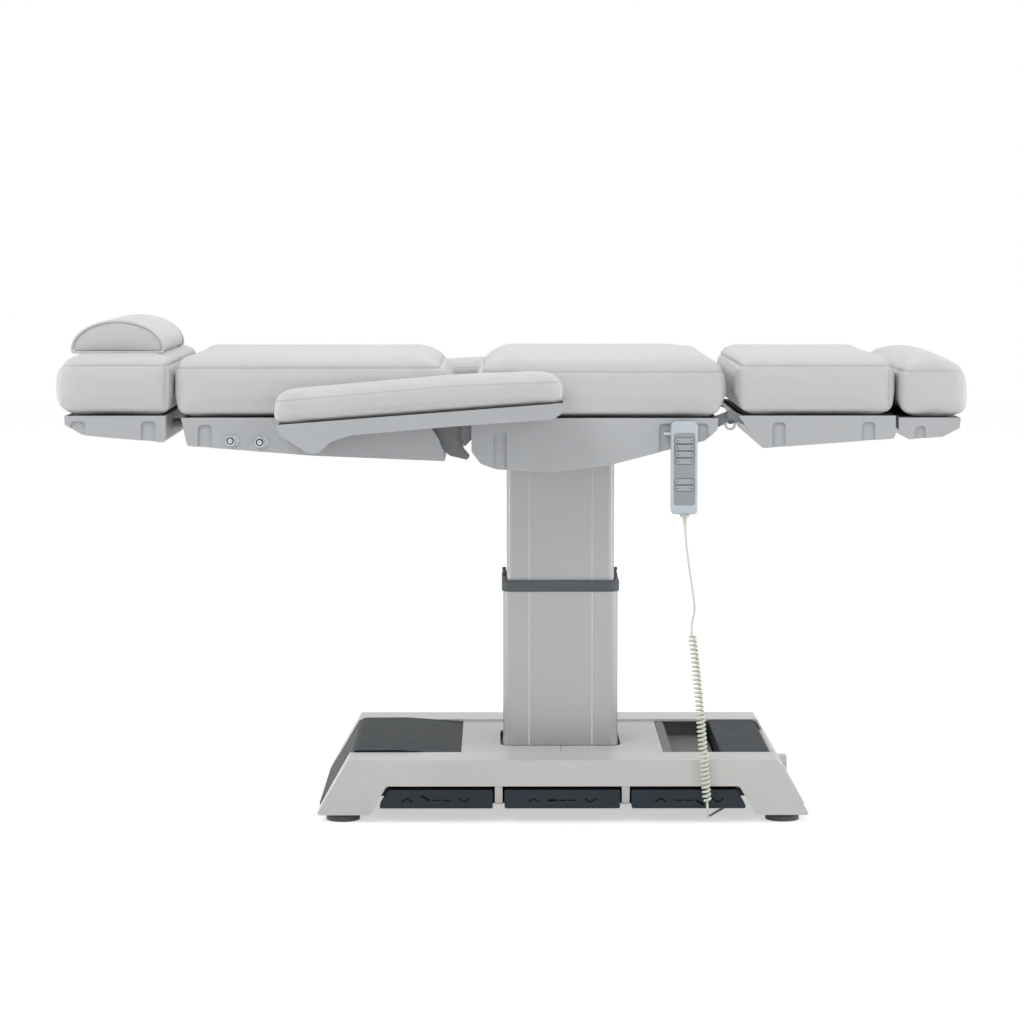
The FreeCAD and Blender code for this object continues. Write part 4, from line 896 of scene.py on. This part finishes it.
@dataclass
class Pillow:
    """The half-round head roll: its ends, base, crown, half width, roundings and piping."""

    start: float = -0.919
    end: float = -0.726
    base: float = 0.9683
    top: float = 1.0395
    half: float = 0.193
    corner: float = 0.008
    rim: float = 0.007
    piping: float = 0.0028

    def outline(self) -> list[Point]:
        """Return the roll's side outline, anticlockwise."""
        middle, reach = (self.start + self.end) / 2, (self.end - self.start) / 2
        corner = self.corner
        low = self.base + corner
        rise = self.top - 0.003 - low
        points = [(self.start + corner + k * (2 * reach - 2 * corner) / 18, self.base)
                  for k in range(19)]
        for k in range(1, 5):
            angle = QUARTER * (k / 5 - 1)
            points.append((self.end - corner + corner * math.cos(angle),
                           low + corner * math.sin(angle)))
        for k in range(0, 37):
            angle = math.pi * k / 36
            points.append((middle + reach * math.cos(angle), low + rise * math.sin(angle)))
        for k in range(1, 5):
            angle = QUARTER * k / 5
            points.append((self.start + corner - corner * math.cos(angle),
                           low - corner * math.sin(angle)))
        return points

    def build(self, finishes: Finishes) -> None:
        """Make the roll and the piping round its ends."""
        outline = self.outline()
        normals = outward(outline)
        centre = middle_of(outline)
        rings = plate_rings(outline, -self.half, self.half, self.rim, 3, 19)
        for pull in (0.35, 0.7):
            face = [Vector((x, z)).lerp(centre, pull) for x, z in outline]
            rings.insert(0, [Vector((p.x, -self.half - 0.0015 * pull, p.y)) for p in face])
            rings.append([Vector((p.x, self.half + 0.0015 * pull, p.y)) for p in face])
        form = Form()
        form.loft(rings)
        made = form.piece("pillow_cover", finishes.leather)
        inflate(made, 0.006, 0.003, 8)
        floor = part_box("pillow")[0][2]
        for vertex in made.data.vertices:
            vertex.co.z = max(vertex.co.z, floor)
        made.data.shade_smooth()
        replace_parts(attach(made, "headrest"), "pillow")
        piping = Form()
        for side in (-1, 1):
            path = inset_ring(outline, normals, 0.0012, side * (self.half - 0.0008))
            for spot in path:
                spot.z = max(spot.z, self.base + 0.0022)
            piping.tube(path + path[:1], self.piping, 8)
        welt = piping.piece("pillow_piping", finishes.leather)
        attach(welt, "headrest")
        LOG.info("pillow: %d faces", len(made.data.polygons))


@dataclass
class Armrest:
    """One armrest pad: which side, and how it is rounded."""

    name: str
    side: int
    inner: float = 0.322
    outer: float = 0.418

    def build(self, finishes: Finishes) -> None:
        """Make the pad."""
        middle = self.side * (self.inner + self.outer) / 2
        pad = Cushion(self.name + "_arm_pad_cover", self.name + "_arm_pad", self.name + "_arm",
                      [(-484, 833, 18), (104, 878, 18), (110, 939, 40), (-115, 930.5, 300),
                       (-478, 899, 30)],
                      [], lines=((0.9225, 0.0868), (0.9168, 0.0378)),
                      half=(self.outer - self.inner) / 2 - 0.0015, top_round=0.020, low_round=0.008,
                      crown=0.001, swell=0.003, middle=middle, voxel=0.005, shrink=0.001)
        pad.build(finishes.thread)


@dataclass
class Print:
    """A flat printed mark on an upright face: its middle and the face's plane, in metres."""

    x: float
    z: float
    face: float
    side: int = -1
    thick: float = 0.0004

    def plate(self, form: Form, corners: list[Point]) -> None:
        """Add a flat mark given by points round its middle, facing away from the chair."""
        outline = [(self.x + x, self.z + z) for x, z in corners]
        near, far = sorted((self.face, self.face + self.side * self.thick))
        form.slab(outline, near, far, 0.0001, 1)

    def bar(self, form: Form, a: Point, b: Point, width: float) -> None:
        """Add a straight stroke between two points."""
        along = (Vector(b) - Vector(a)).normalized() * (width / 2)
        across = Vector((-along.y, along.x))
        start, end = Vector(a) - along * 0.4, Vector(b) + along * 0.4
        self.plate(form, [tuple(spot) for spot in (start - across, end - across,
                                                   end + across, start + across)])

    def chevron(self, form: Form, size: float, up: bool, heavy: float = 0.42) -> None:
        """Add a chevron that points up or down."""
        tip = size * (0.35 if up else -0.35)
        self.bar(form, (-size, -tip), (0, tip), size * heavy)
        self.bar(form, (0, tip), (size, -tip), size * heavy)

    def chair(self, form: Form, size: float, use: Use) -> None:
        """Add a small chair of three strokes: the part that moves is thick or slanting."""
        head = (-size * 1.3, size * 0.42) if use is Use.BACK else (-size * 1.3, 0.0)
        toe = (size * 1.3, -size * 0.42) if use is Use.LEG else (size * 1.3, 0.0)
        self.bar(form, head, (-size * 0.56, 0.0), size * (0.09 if use is Use.LEG else 0.17))
        self.bar(form, (-size * 0.30, 0.0), (size * 0.36, 0.0), size * 0.09)
        self.bar(form, (size * 0.62, 0.0), toe, size * (0.15 if use is Use.LEG else 0.09))


@dataclass
class Pedals:
    """The marks on the six foot pedals: a chevron up, a chevron down and a chair between them."""

    face: float = 0.300
    height: float = 0.048
    spread: float = 0.059

    def build(self, finishes: Finishes) -> None:
        """Print each pedal's marks."""
        for side, place in ((-1, "near"), (1, "far")):
            for use, x in ((Use.BACK, -0.1575), (Use.SEAT, 0.1045), (Use.LEG, 0.3675)):
                form = Form()
                face = side * self.face
                Print(x, self.height, face, side).chair(form, 0.0225, use)
                for offset, up in ((-self.spread, True), (self.spread, False)):
                    Print(x + offset, self.height, face, side).chevron(form, 0.0115, up, 0.2)
                name = "%s_pedal_%s" % (place, use.value)
                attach(form.piece(name + "_mark", finishes.print_and_shade_black, False), name)
        LOG.info("pedals: marks printed")


@dataclass
class Knobs:
    """The two push knobs of the head rods: a pale collar, a steel ring, a black ring of painted
    shade for the groove, and a button.
    """

    places: tuple[Point, ...] = ((-0.5785, 0.793), (-0.518, 0.790))
    offset: float = 0.008

    @staticmethod
    def disc(form: Form, x: float, z: float, radius: float, near: float, far: float) -> None:
        """Add a round disc that faces the near side."""
        circle = [(x + radius * math.cos(a), z + radius * math.sin(a))
                  for a in (math.pi * k / 20 for k in range(40))]
        form.slab(circle, near, far, min(0.0008, (far - near) / 3), 2)

    def build(self, finishes: Finishes) -> None:
        """Make both knobs in one piece for each finish."""
        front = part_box("head_lock_knobs")[0][1]
        parts = (("collar", finishes.handset, self.offset, 0.0108, 0.006, 0.0095),
                 ("ring", finishes.bright, 0.0, 0.0108, 0.0006, 0.0095),
                 # The groove is a black disc of painted shade.
                 ("groove", finishes.print_and_shade_black, 0.0, 0.0078, 0.0003, 0.0012),
                 ("button", finishes.bright, 0.0, 0.0056, -0.0006, 0.0012))
        for name, finish, shift, radius, near, far in parts:
            form = Form()
            for x, z in self.places:
                self.disc(form, x + shift, z, radius, front + near, front + far)
            made = crease(form.piece("head_knob_" + name, finish))
            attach(made, "back")
            if name == "ring":
                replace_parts(made, "head_lock_knobs")
        LOG.info("knobs: %d made", len(self.places))


@dataclass
class Collar:
    """The ring round the top of the column's outer tube, in millimetres, and the pale strips of
    painted highlight in the tubes' grooves.

    A clip stands at each end of the ring, and its profile is (rise over the ring, radius).
    """

    middle: float = 105.0
    half: Point = (125.5, 100.5)
    corner: float = 22.0
    wall: float = 9.0
    low: float = 456.0
    high: float = 479.5
    clip: tuple[Point, ...] = ((-2, 4.8), (2, 4.8), (5, 4.2), (8, 2.8), (10, 2.8), (12, 4.2),
                               (16, 4.6), (18, 3.4))

    def rings(self) -> list[list[Vector]]:
        """Return the ring's level outlines, from the foot of its bore round and back."""
        corners = [(self.middle + a * self.half[0], b * self.half[1], self.corner)
                   for a, b in ((-1, -1), (1, -1), (1, 1), (-1, 1))]
        outline = rounded(corners, 0.005)
        normals = outward(outline)
        return [[Vector((x - n.x * inset / 1000, y - n.y * inset / 1000, height / 1000))
                 for (x, y), n in zip(outline, normals)]
                for inset, height in ((self.wall, self.low), (1, self.low), (0, self.low + 1),
                                      (0, self.high - 3), (1, self.high - 1), (3, self.high),
                                      (self.wall, self.high), (self.wall, self.low))]

    def build(self, finishes: Finishes) -> None:
        """Make the ring, its clips and the strips of painted highlight."""
        form = Form()
        form.loft(self.rings(), False)
        for side in (-1, 1):
            spot = Vector((self.middle + side * (self.half[0] - 5.2), 0, 0)) / 1000
            turns = [math.pi * k / 10 for k in range(20)]
            form.loft([[spot + Vector((r * math.cos(a), r * math.sin(a), self.high + rise)) / 1000
                        for a in turns] for rise, r in self.clip])
        made = crease(form.piece("column_ring", finishes.collar))
        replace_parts(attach(made, "base"), "column_collar")
        self.groove_highlights(finishes, "column_outer_groove_highlights", "base", 0.0975, (0.1265, 0.4555))
        self.groove_highlights(finishes, "column_inner_groove_highlights", "lift", 0.0895, (0.4600, 0.7640))
        LOG.info("collar: %d faces", len(made.data.polygons))

    @staticmethod
    def groove_highlights(finishes: Finishes, name: str, body: str, face: float, span: Point) -> None:
        """Lay pale strips of painted highlight into one tube's grooves.

        Args:
            finishes: The chair's finishes.
            name: The piece's name.
            body: The body that it rides.
            face: Distance of the tube's sides from the middle of the chair.
            span: Heights of the strips' ends.
        """
        form = Form()
        low, high = span
        half = 0.0013
        for x in (0.038, 0.172):
            outline = [(x - half, low), (x + half, low), (x + half, high), (x - half, high)]
            for side in (-1, 1):
                near, far = sorted((side * (face + 0.0001), side * (face - 0.0015)))
                form.slab(outline, near, far, 0.0002, 1)
        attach(form.piece(name, finishes.strip, False), body)


@dataclass
class Handset:
    """The corded handset: its middle, span, faces and key rows in metres, its parts in mm."""

    x: float = 0.354
    half: float = 0.0275
    low: float = 0.643
    high: float = 0.834
    back: float = -0.2955
    front: float = -0.3205
    rows: tuple[float, ...] = (0.795, 0.7805, 0.767, 0.7525, 0.7105, 0.697)
    faceplate: tuple[Point, Point] = ((332, 662), (376, 811))
    surround: Corner = (20.9, 6.6, 6.4)
    cap: Corner = (20, 5.85, 5.7)

    def build(self, finishes: Finishes) -> None:
        """Make the housing, its faceplate, its neck and its keys."""
        shell = Form()
        left, right = (self.x - self.half) * 1000, (self.x + self.half) * 1000
        low, high = self.low * 1000, self.high * 1000
        shell.slab(rounded([(left, low, 8), (right, low, 8), (right, high, 11), (left, high, 11)],
                           0.002), self.front, self.back, 0.005, 6)
        made = shell.piece("handset_housing", finishes.handset)
        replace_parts(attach(made, "seat"), "handset_shell")
        plate = Form()
        plate.slab(rectangle(*self.faceplate, 6, 0.002),
                   self.front - 0.0006, self.front + 0.001, 0.0004, 2)
        made = plate.piece("handset_faceplate", finishes.faceplate)
        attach(made, "seat")
        self.neck(finishes)
        for row, z in enumerate(self.rows, start=1):
            self.key(finishes, row, z)
        LOG.info("handset: housing, faceplate and %d keys", len(self.rows))

    def neck(self, finishes: Finishes) -> None:
        """Make the tapering neck and its two ribs."""
        middle = (self.front + self.back) / 2
        neck = Form()
        neck.tube([Vector((self.x + lean, middle, height))
                   for lean, height in ((0.001, 0.648), (0.0015, 0.6425), (0.002, 0.637))],
                  0.0095, 24, 0.8)
        for height, size in ((0.6415, 0.0105), (0.6385, 0.0096)):
            neck.tube([Vector((self.x + 0.0015, middle, height + t))
                       for t in (-0.0014, -0.0006, 0.0006, 0.0014)], size, 24)
        made = crease(neck.piece("handset_neck", finishes.handset))
        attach(made, "seat")

    def oval(self, z: float, size: Corner) -> list[Point]:
        """Return an outline round one key, from its half sizes and its radius."""
        across, up, radius = size
        x, z = self.x * 1000, z * 1000
        return rectangle((x - across, z - up), (x + across, z + up), radius, 0.0012)

    def key(self, finishes: Finishes, row: int, z: float) -> None:
        """Make one rocker key, its dark surround and its marks."""
        ring = Form()
        ring.slab(self.oval(z, self.surround), self.front - 0.0011, self.front - 0.0002, 0.0003, 2)
        made = ring.piece("handset_key_%d_surround" % row, finishes.mark)
        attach(made, "seat")
        pill = Form()
        pill.slab(self.oval(z, self.cap), self.front - 0.0025, self.front + 0.0025, 0.0012, 3)
        body = "key_%d" % row
        made = pill.piece("handset_key_%d_cap" % row, finishes.key)
        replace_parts(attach(made, body), "handset_key_%d" % row)
        marks = Form()
        for side in (-1, 1):
            mark = Print(self.x + side * 0.0145, z, self.front - 0.0025, -1, 0.0002)
            if row in (1, 5):
                mark.chevron(marks, 0.0021, side < 0)
            elif row in (2, 3, 4):
                mark.bar(marks, (-0.0026, -0.0012 * side), (0.0, 0.0), 0.0011)
                mark.bar(marks, (0.0003, 0.0), (0.0028, 0.0012 * side), 0.0011)
            else:
                mark.bar(marks, (-0.0028, 0.0), (0.0028, 0.0), 0.0011)
        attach(marks.piece("handset_key_%d_marks" % row, finishes.mark, False), body)


@dataclass
class HandsetCord:
    """The handset's cord: a hanging top end, a curly middle, and a tail under the base.

    The control points are the route's own, and the curls are wound on the smooth line that they
    give. The travel is the column's; it is not used.
    """

    radius: float = 0.0025
    curl: float = 0.0072
    turns: int = 39
    per_turn: int = 14
    travel: float = 0.300
    exit: Place = (0.356, -0.308, 0.641)
    coil_top: Place = (0.3705, -0.316, 0.396)
    coil_low: Place = (0.403, -0.316, 0.046)
    socket: Place = (0.468, -0.150, 0.056)

    @staticmethod
    def line(points: list[Place]) -> list[Vector]:
        """Return points read from a smooth spline.

        Args:
            points: The spline's control points.

        Returns:
            Points along the cord's middle, close together.
        """
        curve = bpy.data.curves.new("route", "CURVE")
        curve.dimensions = "3D"
        curve.resolution_u = 12
        spline = curve.splines.new("NURBS")
        spline.points.add(len(points) - 1)
        for control, place in zip(spline.points, points):
            control.co = (*place, 1.0)
        spline.order_u = 3
        spline.use_endpoint_u = True
        holder = bpy.data.objects.new("route", curve)
        bpy.context.scene.collection.objects.link(holder)
        graph = bpy.context.evaluated_depsgraph_get()
        mesh = bpy.data.meshes.new_from_object(holder.evaluated_get(graph))
        found = [vertex.co.copy() for vertex in mesh.vertices]
        bpy.data.objects.remove(holder)
        bpy.data.meshes.remove(mesh)
        return found

    def curls(self, middle: list[Vector]) -> list[Vector]:
        """Return the curly line that winds round a middle line.

        Args:
            middle: The smooth line.

        Returns:
            The cord's own line, starting and ending on the middle line.
        """
        reach = [0.0]
        for here, ahead in zip(middle, middle[1:]):
            reach.append(reach[-1] + (ahead - here).length)
        steps = self.turns * self.per_turn
        points, index = [], 0
        for k in range(steps + 1):
            along_line = reach[-1] * k / steps
            while index < len(middle) - 2 and reach[index + 1] < along_line:
                index += 1
            run = middle[index + 1] - middle[index]
            spot = middle[index] + run * ((along_line - reach[index]) / max(1e-9, run.length))
            ahead = run.normalized()
            side = (Vector((1, 0, 0)) - ahead * ahead.x).normalized()
            across = ahead.cross(side)
            angle = 2 * math.pi * k / self.per_turn
            ease = smoothstep(min(k, steps - k) / (0.8 * self.per_turn))
            aside = side * math.cos(angle) + across * math.sin(angle)
            points.append(spot + aside * (self.curl * ease))
        return points

    def run(self, name: str, node: str, path: list[Vector],
            finish: bpy.types.Material) -> bpy.types.Object:
        """Make one run of the cord as a tube.

        Args:
            name: The piece's name.
            node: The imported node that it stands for.
            path: The line that it follows.
            finish: The jacket's finish.

        Returns:
            The run.
        """
        form = Form()
        form.tube(path, self.radius, 10)
        made = form.piece(name, finish)
        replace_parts(made, node)
        LOG.info("%s: %.3f m of cord", name, line_length(path))
        return made

    def build(self, finishes: Finishes) -> None:
        """Make the three runs and the boot at the handset."""
        upper = self.line([self.exit, (0.357, -0.308, 0.596), (0.364, -0.310, 0.540),
                           (0.371, -0.312, 0.492), (0.378, -0.314, 0.446), (0.3685, -0.316, 0.413),
                           self.coil_top])
        hanging = self.run("handset_cord_hanging", "cord_upper", upper, finishes.cord)
        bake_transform(hanging)
        x, y, _ = self.exit
        boot = Form()
        boot.tube([Vector((x, y, z)) for z in (0.644, 0.636, 0.627, 0.617)], 0.0056, 20, 0.5)
        for z in (0.6385, 0.6335, 0.6285):
            boot.tube([Vector((x, y, z + t)) for t in (-0.0011, 0.0011)],
                      0.0061 - (0.6385 - z) * 0.12, 20)
        relief = crease(boot.piece("handset_cord_boot", finishes.cord), 50.0)
        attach(relief, "seat")
        line_length(upper)

        middle = self.line([self.coil_top, (0.3766, -0.316, 0.353), (0.384, -0.316, 0.278),
                            (0.3895, -0.316, 0.216), (0.394, -0.316, 0.156), (0.399, -0.316, 0.096),
                            self.coil_low])
        wound = self.curls(middle)
        coil = self.run("handset_cord_coil", "cord_coil", wound, finishes.cord)
        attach(coil, "base")
        line_length(wound)
        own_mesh(coil)

        tail = self.line([self.coil_low, (0.4045, -0.316, 0.016), (0.410, -0.272, 0.008),
                          (0.430, -0.222, 0.0085), (0.453, -0.178, 0.010), (0.468, -0.150, 0.026),
                          self.socket])
        end = self.run("handset_cord_tail", "cord_tail", tail, finishes.cord)
        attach(end, "base")
        line_length(tail)


@dataclass(frozen=True)
class WhiteSurface:
    """Paint that shows near white to the camera and in reflections, and still takes a shadow."""

    name: str
    glow: float = 0.55
    colour: Colour = (0.80, 0.80, 0.80)

    def material(self) -> bpy.types.Material:
        """Return the paint as a material."""
        shader = Shader(self.name)
        seen = shader.rays("Camera", "Glossy")
        shader.wire("Emission Color", shader.tint(seen, (0.0, 0.0, 0.0), (self.glow,) * 3))
        shader.wire("Emission Strength", 1.0)
        shader.wire("Base Color", (*self.colour, 1.0))
        shader.wire("Roughness", 0.9)
        shader.wire("Specular IOR Level", 0.0)
        return shader.material


class Sky(Shader):
    """The world's node tree: white where it is seen, and a plain level of light elsewhere."""

    def __init__(self, name: str, level: float) -> None:
        """Build the world.

        Args:
            name: The world's name.
            level: Strength of its light on the chair.
        """
        self.world = bpy.data.worlds.new(name)
        self.world.use_nodes = True
        self.tree = self.world.node_tree
        self.tree.nodes.clear()
        seen = self.rays("Camera", "Glossy", "Transmission")
        strength = self.node("ShaderNodeMapRange", {},
                             {"Value": seen, "To Min": level, "To Max": 1.0})
        back = self.node("ShaderNodeBackground", {}, {"Color": (1.0, 1.0, 1.0, 1.0),
                                                      "Strength": strength.outputs[0]})
        self.node("ShaderNodeOutputWorld", {}, {"Surface": back.outputs[0]})


@dataclass
class Studio:
    """Camera, lamps, floor and sky: pitch and yaw in degrees, drop as a share of the picture."""

    eye: Place = (-0.0246, -6.300, 1.241)
    pitch: float = 2.83
    drop: float = 0.1413
    yaw: float = 0.24
    lens: float = 102.9
    sky: float = 0.55

    def lamp(self, name: str, place: Place, aim: Place, size: float, watts: float) -> None:
        """Add one soft lamp.

        Args:
            name: The lamp's name.
            place: Where it stands.
            aim: The point that it faces.
            size: Its diameter.
            watts: Its power.
        """
        light = bpy.data.lights.new(name, "AREA")
        light.shape = "DISK"
        light.size = size
        light.energy = watts
        holder = bpy.data.objects.new(name, light)
        holder.location = place
        holder.rotation_euler = (Vector(aim) - Vector(place)).to_track_quat("-Z", "Y").to_euler()
        bpy.context.scene.collection.objects.link(holder)

    def build(self) -> None:
        """Set up the studio."""
        scene = bpy.context.scene
        scene.view_settings.view_transform = "Standard"
        camera = bpy.data.cameras.new("camera")
        camera.lens = self.lens
        camera.sensor_width = 36.0
        camera.shift_y = -self.drop
        camera.clip_end = 60.0
        holder = bpy.data.objects.new("camera", camera)
        holder.location = self.eye
        holder.rotation_euler = (math.radians(90 - self.pitch), 0.0, math.radians(-self.yaw))
        scene.collection.objects.link(holder)
        scene.camera = holder
        floor = Form()
        reach = 14
        floor.verts = [Vector((x * reach, y * reach, 0))
                       for x, y in ((-1, -1), (1, -1), (1, 1), (-1, 1))]
        floor.faces = [(0, 1, 2, 3)]
        floor.piece("studio_floor", WhiteSurface("floor_white").material(), False)
        scene.world = Sky("studio_sky", self.sky).world
        lamps = (("key_lamp", (-2.2, -3.4, 4.2), (0.0, 0.0, 0.6), 2.4, 60.0),
                 ("fill_lamp", (3.2, -3.8, 2.0), (0.2, 0.0, 0.5), 3.0, 26.0),
                 ("top_lamp", (0.3, 1.0, 4.4), (0.0, 0.0, 0.7), 3.0, 44.0),
                 ("left_lamp", (-4.2, -0.25, 1.2), (0.1, 0.0, 0.5), 1.2, 40.0),
                 ("right_lamp", (4.2, -0.25, 1.2), (0.1, 0.0, 0.5), 1.2, 40.0))
        for lamp in lamps:
            self.lamp(*lamp)
        LOG.info("studio: camera, %d lamps and floor", len(lamps))


def main() -> None:
    """Build the chair's looks in order."""
    logging.basicConfig(level=logging.INFO, format="%(message)s")
    Studio().build()
    finishes = Finishes()
    HandsetCord().build(finishes)
    finishes.dress()
    for cushion in padded_top():
        cushion.build(finishes.thread)
    Pillow().build(finishes)
    for name, side in (("near", -1), ("far", 1)):
        Armrest(name, side).build(finishes)
    Collar().build(finishes)
    Knobs().build(finishes)
    Pedals().build(finishes)
    Handset().build(finishes)


if __name__ == "__main__":
    main()
